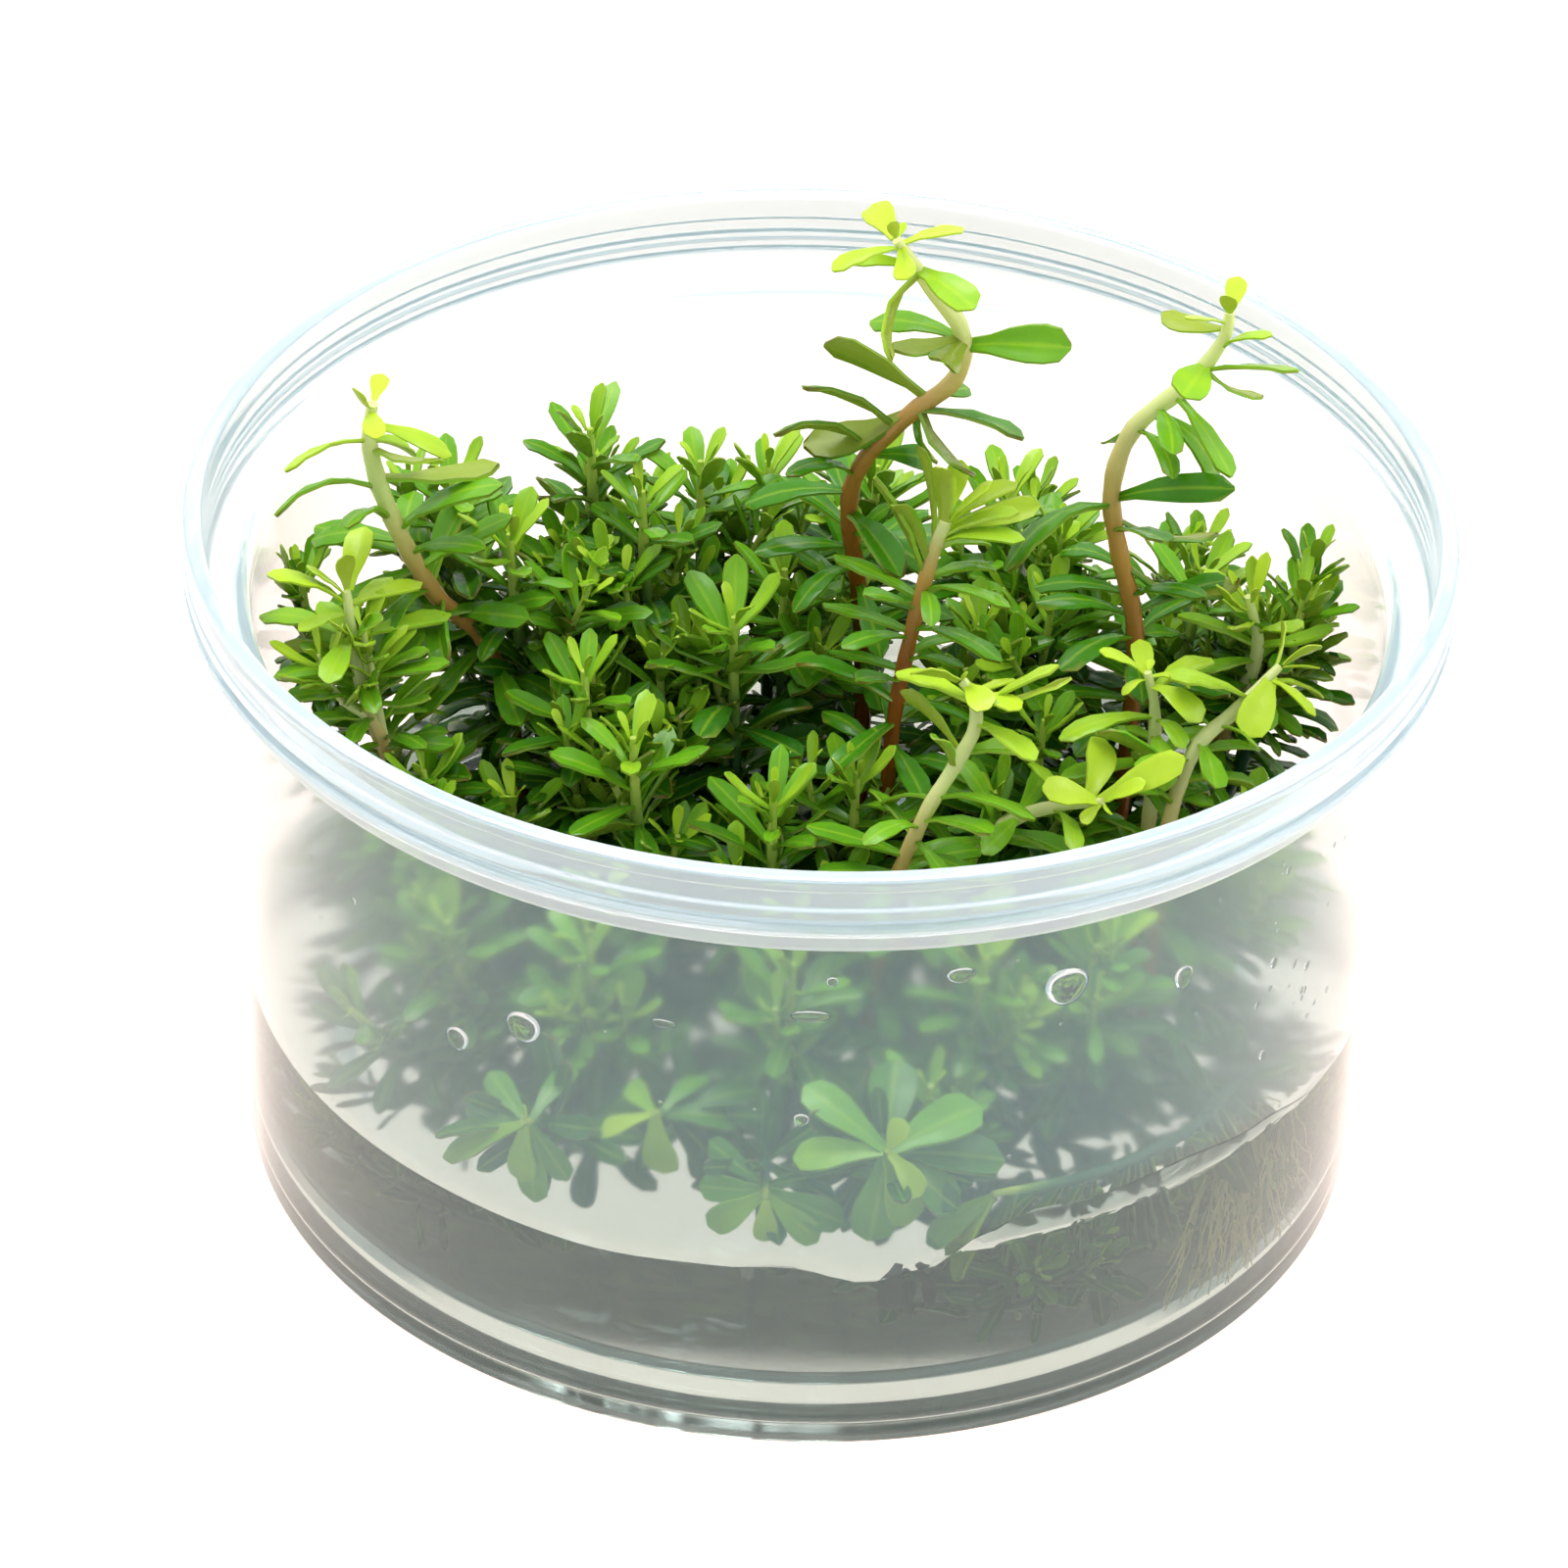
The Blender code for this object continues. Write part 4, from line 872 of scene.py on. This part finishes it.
class ShootPlan:
    """Points for one shoot: its stems as chains of points, and one loose point for each leaf."""

    def __init__(self, seed):
        self.points = []
        self.edges = []
        self.facts = {"is_leaf": [], "thickness": [], "age": [], "tint": [], "stemness": []}
        self.turns = []
        self.sizes = []
        self.shapes = []
        self.chance = random.Random(seed)
        self.tint = self.chance.uniform(-1, 1)

    def add_point(self, place, is_leaf, thickness, age, tint, turn=(0, 0, 0), size=(1, 1, 1), shape=0):
        self.points.append(place * MM)
        for key, value in zip(self.facts, (is_leaf, thickness * MM, age, tint, 1.0 - is_leaf)):
            self.facts[key].append(float(value))
        self.turns.append(turn)
        self.sizes.append(size)
        self.shapes.append(shape)

    def add_chain(self, places, thicknesses, ages):
        """Points joined in a row, which the nodes below turn into a round strand."""
        start = len(self.points)
        for i, (place, thickness, age) in enumerate(zip(places, thicknesses, ages)):
            self.add_point(place, 0, thickness, age, 0)
            if i:
                self.edges.append((start + i - 1, start + i))

    def add_stem(self, stem, fade, top=0.0):
        """A chain of points from the foot up to its top leaves, a little swollen at each leaf node."""
        steps = max(4, int((stem.length - top) / STEM_STEP))
        downs = [top + (stem.length - top) * (1 - i / steps) for i in range(steps + 1)]
        thicknesses = []
        for down in downs:
            swell = 1.0 + NODE_SWELL * math.cos((down - FIRST_NODE) * 2 * math.pi / NODE_STEPS[-1])
            thicknesses.append(stem.radius * swell * (0.55 + 0.45 * min(down / STEM_TAPER, 1)))
        self.add_chain([stem.frame(down)[0] for down in downs], thicknesses,
                       [1 - math.exp(-down / fade) for down in downs])

    def add_blade(self, root, out, normal, length, width, shape, age):
        across = normal.cross(out).normalized()
        normal = out.cross(across)
        turn = tuple(Matrix((out, across, normal)).transposed().to_euler())
        self.add_point(root, 1, 0.0, age, self.tint + self.chance.gauss(0, 0.45), turn,
                       (length * MM, length * width * MM, length * MM), shape)

    def add_pair(self, stem, down, quarter, length, age):
        """Two opposite leaves at a node, upright by the tip and level further down."""
        centre, tangent, first, second = stem.frame(down)
        for opposite in (0, 1):
            turn = quarter * math.pi / 2 + math.pi * opposite + self.chance.gauss(0, 0.16)
            side = first * math.cos(turn) + second * math.sin(turn)
            rise = LEAF_RISE + TIP_RISE * math.exp(-down / TIP_RISE_FADE) + self.chance.gauss(0, 7)
            rise = math.radians(rise)
            out = side * math.cos(rise) + tangent * math.sin(rise)
            out = (out + Vector((0, 0, -0.08))).normalized()
            reach = length * self.chance.uniform(*LEAF_LENGTHS)
            width = self.chance.uniform(*LEAF_WIDTHS)
            inward = Vector((-centre.x, -centre.y, 0)).normalized()
            shape = self.pick_shape(down)
            for attempt in range(7):
                if inside_cup(centre + out * reach) and inside_cup(centre + out * reach * 0.6):
                    break
                out = (out + inward * 0.3 + Vector((0, 0, 0.2))).normalized()
                reach *= 0.95
            else:
                continue
            self.add_blade(centre + side * stem.radius * 0.7, out, tangent - out * tangent.dot(out),
                           reach, width, shape, age)

    def pick_shape(self, down):
        if down < 3:
            return self.chance.choice((0, 0, 1, 4))
        if down < 8:
            return self.chance.choice((0, 1, 1, 2, 4, 5))
        return self.chance.choice((1, 1, 2, 2, 3, 5, 6, 7))

    def add_seen_leaf(self, stem, down, right, up, away, length, shape, width, roll, age):
        """A leaf placed by where its tip is seen in the picture, relative to its node."""
        centre, tangent = stem.frame(down)[:2]
        depth = away * math.sqrt(max(length ** 2 - right ** 2 - up ** 2, 0.05))
        for attempt in range(12):
            out = (rolled_right * right + rolled_up * up + forward * depth).normalized()
            if inside_cup(centre + out * length):
                break
            depth += 0.6
        normal = tangent + Vector((0, 0, 0.6))
        normal = (normal - out * normal.dot(out)).normalized()
        normal = Matrix.Rotation(math.radians(roll), 3, out) @ normal
        self.add_blade(centre + out * stem.radius * 0.6, out, normal, length, width * SEEN_WIDTH, shape, age)

    def to_object(self, name):
        mesh = bpy.data.meshes.new(name)
        mesh.from_pydata(self.points, self.edges, [])
        for key, values in self.facts.items():
            set_attribute(mesh, key, values)
        for key, values in (("leaf_turn", self.turns), ("leaf_size", self.sizes)):
            attribute = mesh.attributes.new(key, 'FLOAT_VECTOR', 'POINT')
            attribute.data.foreach_set("vector", [number for triple in values for number in triple])
        shape = mesh.attributes.new("leaf_shape", 'INT', 'POINT')
        shape.data.foreach_set("value", self.shapes)
        thing = bpy.data.objects.new(name, mesh)
        bpy.context.scene.collection.objects.link(thing)
        return thing


def named(tree, name, data_type='FLOAT'):
    """Output of a named attribute in a Geometry Nodes tree."""
    node = add_node(tree, "GeometryNodeInputNamedAttribute", {"Name": name}, data_type=data_type)
    return next(socket for socket in node.outputs if socket.enabled and socket.name == "Attribute")


def build_shoot_tree():
    """Geometry Nodes that turn a shoot's plan into a round stem with a blade at each leaf point."""
    tree = bpy.data.node_groups.new("grow_shoot", 'GeometryNodeTree')
    tree.interface.new_socket("Geometry", in_out='INPUT', socket_type='NodeSocketGeometry')
    tree.interface.new_socket("Blades", in_out='INPUT', socket_type='NodeSocketCollection')
    tree.interface.new_socket("Stem sides", in_out='INPUT', socket_type='NodeSocketInt')
    tree.interface.new_socket("Leaf and stem", in_out='INPUT', socket_type='NodeSocketMaterial')
    tree.interface.new_socket("Geometry", in_out='OUTPUT', socket_type='NodeSocketGeometry')
    entry = add_node(tree, "NodeGroupInput")
    parted = add_node(tree, "GeometryNodeSeparateGeometry",
                      {"Geometry": entry.outputs["Geometry"], "Selection": named(tree, "is_leaf")})
    chain = add_node(tree, "GeometryNodeMeshToCurve", {"Mesh": parted.outputs["Inverted"]})
    ring = add_node(tree, "GeometryNodeCurvePrimitiveCircle",
                    {"Resolution": entry.outputs["Stem sides"], "Radius": 1.0})
    tube = add_node(tree, "GeometryNodeCurveToMesh",
                    {"Curve": chain.outputs[0], "Profile Curve": ring.outputs["Curve"],
                     "Scale": named(tree, "thickness"), "Fill Caps": True})
    smooth = add_node(tree, "GeometryNodeSetShadeSmooth", {"Geometry": tube.outputs[0]})
    kit = add_node(tree, "GeometryNodeCollectionInfo",
                   {"Collection": entry.outputs["Blades"], "Separate Children": True, "Reset Children": True})
    turn = add_node(tree, "FunctionNodeEulerToRotation",
                    {"Euler": named(tree, "leaf_turn", 'FLOAT_VECTOR')})
    leaves = add_node(tree, "GeometryNodeInstanceOnPoints",
                      {"Points": parted.outputs["Selection"], "Instance": kit.outputs[0],
                       "Pick Instance": True, "Instance Index": named(tree, "leaf_shape", 'INT'),
                       "Rotation": turn.outputs[0], "Scale": named(tree, "leaf_size", 'FLOAT_VECTOR')})
    join = add_node(tree, "GeometryNodeJoinGeometry")
    tree.links.new(smooth.outputs[0], join.inputs[0])
    tree.links.new(leaves.outputs[0], join.inputs[0])
    real = add_node(tree, "GeometryNodeRealizeInstances", {"Geometry": join.outputs[0]})
    painted = add_node(tree, "GeometryNodeSetMaterial",
                       {"Geometry": real.outputs[0], "Material": entry.outputs["Leaf and stem"]})
    add_node(tree, "NodeGroupOutput", {0: painted.outputs[0]})
    return tree


def grow(plan_object, tree, inputs):
    """Run a Geometry Nodes tree on a plan and keep the plain mesh that it makes."""
    modifier = plan_object.modifiers.new("grow", 'NODES')
    modifier.node_group = tree
    for item in tree.interface.items_tree:
        if item.in_out == 'INPUT' and item.name in inputs:
            modifier[item.identifier] = inputs[item.name]
    view = plan_object.evaluated_get(bpy.context.evaluated_depsgraph_get())
    mesh = bpy.data.meshes.new_from_object(view)
    plan = plan_object.data
    bpy.data.objects.remove(plan_object, do_unlink=True)
    bpy.data.meshes.remove(plan)
    return mesh


# The faint mottling of a leaf, in millimetres, and the red brown of an older leaf's rim
MOTTLE_SIZE = 1.613
LEAF_RIM_COLOUR = "#6E4A1E"


def leaf_material(name, young, middle, old, under, stem_top, stem_middle, stem_low, glow):
    """Living leaf and stem: waxy gloss over green flesh that lets light through.

    age runs from 0 at the shoot's tip towards 1 low down, tint shifts each leaf a little, and the rim
    of an older blade turns red brown. Stems are pale near the tip and orange brown below.
    """
    material, tree, out = new_material(name)
    place = add_node(tree, "ShaderNodeTexCoord")
    age, tint, along, across, below, stemness = [
        add_node(tree, "ShaderNodeAttribute", attribute_name=key).outputs["Fac"]
        for key in ("age", "tint", "along", "across", "under", "stemness")]
    mottle = add_node(tree, "ShaderNodeTexNoise",
                      {"Vector": place.outputs["Object"], "Scale": 1 / (MOTTLE_SIZE * MM), "Detail": 0.0})
    aged = add_node(tree, "ShaderNodeMath", {0: mottle.outputs["Fac"], 1: 0.16, 2: age},
                    operation='MULTIPLY_ADD')
    aged = add_node(tree, "ShaderNodeMath", {0: tint, 1: 0.07, 2: aged.outputs[0]},
                    operation='MULTIPLY_ADD')
    flesh = add_node(tree, "ShaderNodeValToRGB", {"Fac": aged.outputs[0]},
                     stops=((0.12, young), (0.52, middle), (1.0, old)))
    edge = add_node(tree, "ShaderNodeMath", {0: across}, operation='ABSOLUTE')
    tip = add_node(tree, "ShaderNodeMapRange", {"Value": along, "From Min": 0.80, "From Max": 1.0})
    rim = add_node(tree, "ShaderNodeMapRange", {"Value": edge.outputs[0], "From Min": 0.90, "From Max": 1.0})
    for part in (tip.outputs[0], age):
        rim = add_node(tree, "ShaderNodeMath", {0: rim.outputs[0], 1: part}, operation='MULTIPLY')
    ridge = add_node(tree, "ShaderNodeMapRange",
                     {"Value": edge.outputs[0], "From Min": 0.0, "From Max": 0.20,
                      "To Min": 0.32, "To Max": 0.0})
    under_mix = add_node(tree, "ShaderNodeMath", {0: below, 1: 0.8}, operation='MULTIPLY')
    colour = flesh.outputs["Color"]
    for mask, shade in ((ridge, young), (under_mix, under), (rim, LEAF_RIM_COLOUR)):
        mixed = add_node(tree, "ShaderNodeMix", {0: mask.outputs[0], 6: colour, 7: linear_colour(shade)},
                         data_type='RGBA')
        colour = mixed.outputs[2]
    stem_shade = add_node(tree, "ShaderNodeValToRGB", {"Fac": age},
                          stops=((0.42, stem_top), (0.68, stem_middle), (0.88, stem_low)))
    whole = add_node(tree, "ShaderNodeMix", {0: stemness, 6: colour, 7: stem_shade.outputs["Color"]},
                     data_type='RGBA')
    gloss = add_node(tree, "ShaderNodeMapRange",
                     {"Value": mottle.outputs["Fac"], "From Min": 0.3, "From Max": 0.7,
                      "To Min": 0.16, "To Max": 0.36})
    skin = add_node(tree, "ShaderNodeBsdfPrincipled",
                    {"Base Color": whole.outputs[2], "Roughness": gloss.outputs[0], "IOR": 1.42})
    lit = add_node(tree, "ShaderNodeMix", {0: 0.30, 6: whole.outputs[2], 7: linear_colour(young)},
                   data_type='RGBA')
    through = add_node(tree, "ShaderNodeBsdfTranslucent", {"Color": lit.outputs[2]})
    living = add_node(tree, "ShaderNodeMixShader", {0: glow, 1: skin.outputs[0], 2: through.outputs[0]})
    tree.links.new(living.outputs[0], out.inputs["Surface"])
    return material


# Green leaf of the clump, and the paler young leaf of the shoots that stand out of it
leaf_green = leaf_material("living_leaf", "#C0E43A", "#72B61E", "#2A6A12", "#90A834",
                           "#BCD25A", "#6E9440", "#2E5A3E", 0.28)
leaf_young = leaf_material("living_young_leaf", "#D2F040", "#8CCB2C", "#4A9214", "#A4AE40",
                           "#E6ECA4", "#D2A052", "#96521A", 0.34)
shoot_tree = build_shoot_tree()

shoot_facts = list(DRAWN_SHOOTS)
for group, tips in CLUMP.items():
    for number, (x, y, z, leaf_length, turn) in enumerate(tips, start=1):
        foot = Vector((x * FOOT_SPREAD, y * FOOT_SPREAD, STEM_FOOT))
        low = Vector((foot.x * 0.8 + x * 0.2, foot.y * 0.8 + y * 0.2, z * 0.45))
        high = Vector((foot.x * 0.2 + x * 0.8, foot.y * 0.2 + y * 0.8, z * 0.78))
        shoot_facts.append((f"shoot_{group}_{number}", (foot, low, high, Vector((x, y, z))),
                            leaf_length, turn, 0.0))


def add_leaves(plan, stem, leaf_length, start, fade, lowest=LOWEST_LEAF):
    """Crossed pairs from start down to the lowest leaves, each pair turned from the one above it."""
    down = FIRST_NODE
    step = 0
    if start == 0:
        plan.add_pair(stem, 0.3, 1.0, leaf_length * 0.36, 0.0)
    while down < stem.length and stem.frame(down)[0].z > lowest:
        gap = NODE_STEPS[min(step, len(NODE_STEPS) - 1)]
        for place, quarter in ((down, step % 2), (down + gap / 2, step % 2 + 0.5)):
            if place >= start:
                scale = 1 - 0.56 * math.exp(-place / 2.8)
                plan.add_pair(stem, place, quarter, leaf_length * scale, 1 - math.exp(-place / fade))
        down += gap
        step += 1


def add_side_shoot(plan, stem, leaf_length, fade, outer):
    """A thinner shoot that forks off a stem, outwards where the stem stands near the wall."""
    tip = stem.places[-1]
    leave = plan.chance.uniform(FORK_START, OUTER_FORK_END if outer else FORK_END)
    centre, tangent, first, second = stem.frame(leave)
    way = plan.chance.uniform(0, 2 * math.pi)
    side = first * math.cos(way) + second * math.sin(way)
    if outer:
        side = (side * 0.7 + Vector((tip.x, tip.y, 0)).normalized()).normalized()
    rise = plan.chance.uniform(*FORK_RISE)
    top = centre + side * plan.chance.uniform(*FORK_REACH) + Vector((0, 0, leave * rise))
    if not inside_cup(top + side * 1.5):
        side = -side
        top = centre + side * 4.5 + Vector((0, 0, leave * 0.6))
    elbow = centre.lerp(top, 0.4) + side
    branch = Stem((centre, elbow, top), plan.chance.uniform(0, 90), CLUMP_STEM_RADIUS * 0.8)
    plan.add_stem(branch, fade * STEM_FADE_SHARE)
    add_leaves(plan, branch, leaf_length * 0.88, 0, fade * 0.8)


def add_runner(plan, stem, leaf_length):
    """A low shoot that creeps from a stem's foot towards the wall, unless the floor there is bare."""
    foot = stem.places[0]
    tip = stem.places[-1]
    way = math.atan2(tip.y, tip.x) + plan.chance.uniform(-0.6, 0.6)
    if BARE_FLOOR[0] < math.degrees(way) < BARE_FLOOR[1]:
        return
    outward = Vector((math.cos(way), math.sin(way), 0))
    end = outward * plan.chance.uniform(*RUNNER_RADII)
    end.z = plan.chance.uniform(*RUNNER_HEIGHTS)
    knee = foot.lerp(end, 0.55)
    knee.z = plan.chance.uniform(*RUNNER_KNEES)
    runner = Stem((foot, knee, end), plan.chance.uniform(0, 90), CLUMP_STEM_RADIUS * 0.85)
    plan.add_stem(runner, RUNNER_STEM_FADE)
    add_leaves(plan, runner, leaf_length * 0.85, 0, RUNNER_LEAF_FADE)


drawn_names = {facts[0] for facts in DRAWN_SHOOTS}
for seed, (name, points, leaf_length, turn, pale) in enumerate(shoot_facts):
    drawn = name in drawn_names
    by_wall = "wall" in name or "waterline" in name
    seen = SEEN_LEAVES.get(name, ())
    plan = ShootPlan(seed)
    stem_radius = CLUMP_STEM_RADIUS
    if drawn and not by_wall:
        stem_radius = TALL_STEM_RADIUS if "tall" in name else DRAWN_STEM_RADIUS
    stem = Stem(points, turn, stem_radius)
    fade = (DRAWN_FADE if drawn else CLUMP_FADE) * (1 + pale)
    top = min([facts[0] for facts in seen], default=0.0)
    plan.add_stem(stem, fade * STEM_FADE_SHARE, top)
    for down, right, up, away, length, shape, width, roll in seen:
        age = 1 - math.exp(-(down - top) / fade)
        plan.add_seen_leaf(stem, down, right, up, away, length, shape, width, roll, age)
    start = max([facts[0] for facts in seen], default=-1.0) + 1.0
    add_leaves(plan, stem, leaf_length, start, fade, LOWEST_WALL_LEAF if by_wall else LOWEST_LEAF)
    bushy = not drawn or name in ("shoot_left_rim", "shoot_right_rim")
    tip = stem.places[-1]
    outer = math.hypot(tip.x, tip.y) > OUTER_SHOOT_RADIUS
    for count in range((SIDE_SHOOTS + outer) if bushy else 0):
        add_side_shoot(plan, stem, leaf_length, fade, outer)
    for count in range(RUNNERS if outer and not drawn else 0):
        add_runner(plan, stem, leaf_length)
    mesh = grow(plan.to_object(name), shoot_tree,
                {"Blades": blades, "Stem sides": 8, "Leaf and stem": leaf_green})
    young_slot = drawn and not by_wall
    finish_piece("grown_" + name, mesh, [leaf_young if young_slot else leaf_green],
                 "young_leaf_green" if young_slot else "leaf_green", name)


# Roots
# Fine pale roots fan down from a shoot's foot at the right, between the stems and the wall, to the
# cup's floor. They are drawn about twice as thick as real ones so that they show.
ROOT_PLACE = Vector((33.4, -21.8, 0))
ROOT_TURN = math.radians(57)
ROOT_TOP = 17.0
ROOT_BOTTOM = 3.3
ROOT_SPREAD_TOP = 5.2
ROOT_SPREAD_BOTTOM = 10.0
ROOT_DEPTH = 0.28
ROOT_STRANDS = 76
ROOT_STEPS = 22
ROOT_RADIUS = 0.14
# Ranges of how far a root waves to and fro, in millimetres, and of a short root's share of full length,
# and the spread of its drift aside
ROOT_WAVES = (0.2, 0.7)
ROOT_SHORT = (0.35, 0.9)
ROOT_DRIFT = 0.28
ROOT_FLECK = 1.111

root_along = Vector((math.cos(ROOT_TURN), math.sin(ROOT_TURN), 0))
root_across = Vector((-math.sin(ROOT_TURN), math.cos(ROOT_TURN), 0))
root_plan = ShootPlan(300)
chance = root_plan.chance
for count in range(ROOT_STRANDS):
    share = chance.uniform(-1, 1)
    side = chance.uniform(-1, 1)
    reach = 1.0 if count % 3 else chance.uniform(*ROOT_SHORT)
    phase = chance.uniform(0, 6.28)
    wave = chance.uniform(*ROOT_WAVES)
    drift = chance.gauss(0, ROOT_DRIFT)
    top = ROOT_TOP - chance.uniform(0, 1.5)
    places = []
    for step in range(ROOT_STEPS + 1):
        fall = step / ROOT_STEPS * reach
        spread = ROOT_SPREAD_TOP + (ROOT_SPREAD_BOTTOM - ROOT_SPREAD_TOP) * fall ** 1.2
        bend = wave * (math.sin(fall * 8 + phase) + 0.4 * math.sin(fall * 21 + 2 * phase)) * min(fall * 4, 1)
        along = max(min((share + drift * fall) * spread + bend, ROOT_SPREAD_BOTTOM), -ROOT_SPREAD_BOTTOM)
        across = side * spread * ROOT_DEPTH + 0.3 * bend * math.cos(phase)
        places.append(ROOT_PLACE + root_along * along + root_across * across
                      + Vector((0, 0, top + (ROOT_BOTTOM - top) * fall)))
    root_plan.add_chain(places, [ROOT_RADIUS * (1 - 0.45 * i / ROOT_STEPS) for i in range(ROOT_STEPS + 1)],
                        [i / ROOT_STEPS for i in range(ROOT_STEPS + 1)])

# Living root: a translucent straw colour, greener near the crown
root_flesh, tree, out = new_material("living_root")
place = add_node(tree, "ShaderNodeTexCoord")
age = add_node(tree, "ShaderNodeAttribute", attribute_name="age")
flecks = add_node(tree, "ShaderNodeTexNoise",
                  {"Vector": place.outputs["Object"], "Scale": 1 / (ROOT_FLECK * MM), "Detail": 2.0})
shade = add_node(tree, "ShaderNodeMath", {0: flecks.outputs["Fac"], 1: 0.4, 2: age.outputs["Fac"]},
                 operation='MULTIPLY_ADD')
straw = add_node(tree, "ShaderNodeValToRGB", {"Fac": shade.outputs[0]},
                 stops=((0.1, "#C6D070"), (0.9, "#F2E8A8")))
skin = add_node(tree, "ShaderNodeBsdfPrincipled",
                {"Base Color": straw.outputs["Color"], "Roughness": 0.45, "IOR": 1.4})
through = add_node(tree, "ShaderNodeBsdfTranslucent", {"Color": straw.outputs["Color"]})
living = add_node(tree, "ShaderNodeMixShader", {0: 0.5, 1: skin.outputs[0], 2: through.outputs[0]})
tree.links.new(living.outputs[0], out.inputs["Surface"])
root_mesh = grow(root_plan.to_object("roots"), shoot_tree,
                 {"Blades": blades, "Stem sides": 5, "Leaf and stem": root_flesh})
finish_piece("root_strands", root_mesh, [root_flesh], "root_straw", "root_tuft")


# Dead leaf
# A small dark scrap of dead leaf, three crumpled blades that hang in the liquid from its edge, just
# inside the front wall.
SCRAP_ANGLE = math.radians(-78.5)
SCRAP_TOP = 16.5
SCRAP_INSET = 1.4
BLOTCH_SIZE = 1.43
# down from the top, along the wall, length in mm, blade, width, roll in degrees
SCRAP_BLADES = ((0.0, -0.6, 4.6, 3, 1.9, 20), (0.4, 0.9, 4.2, 7, 2.0, -40), (1.4, 0.2, 3.6, 6, 2.1, 60))

scrap_plan = ShootPlan(301)
scrap_out = Vector((math.cos(SCRAP_ANGLE), math.sin(SCRAP_ANGLE), 0))
scrap_along = Vector((-scrap_out.y, scrap_out.x, 0))
for down, aside, length, shape, width, roll in SCRAP_BLADES:
    root = scrap_out * (wall_inner_radius(SCRAP_TOP) - SCRAP_INSET) + scrap_along * aside
    root.z = SCRAP_TOP - down
    hang = (Vector((0, 0, -1)) + scrap_along * aside * 0.35).normalized()
    face = Matrix.Rotation(math.radians(roll), 3, hang) @ scrap_out
    scrap_plan.add_blade(root, hang, face, length, width, shape, 1.0)

# Soaked dead leaf: nearly black with brown blotches, and dull
dead_leaf, tree, out = new_material("dead_leaf")
place = add_node(tree, "ShaderNodeTexCoord")
blotch = add_node(tree, "ShaderNodeTexNoise",
                  {"Vector": place.outputs["Object"], "Scale": 1 / (BLOTCH_SIZE * MM), "Detail": 2.0})
brown = add_node(tree, "ShaderNodeValToRGB", {"Fac": blotch.outputs["Fac"]},
                 stops=((0.35, "#140E10"), (0.7, "#3A2A22")))
skin = add_node(tree, "ShaderNodeBsdfPrincipled",
                {"Base Color": brown.outputs["Color"], "Roughness": 0.5, "IOR": 1.4})
tree.links.new(skin.outputs[0], out.inputs["Surface"])
scrap_mesh = grow(scrap_plan.to_object("scrap"), shoot_tree,
                  {"Blades": blades, "Stem sides": 5, "Leaf and stem": dead_leaf})
finish_piece("dead_leaf_scrap", scrap_mesh, [dead_leaf], "leaf_green")

for blade in list(blades.objects):
    bpy.data.objects.remove(blade, do_unlink=True)
bpy.data.collections.remove(blades)
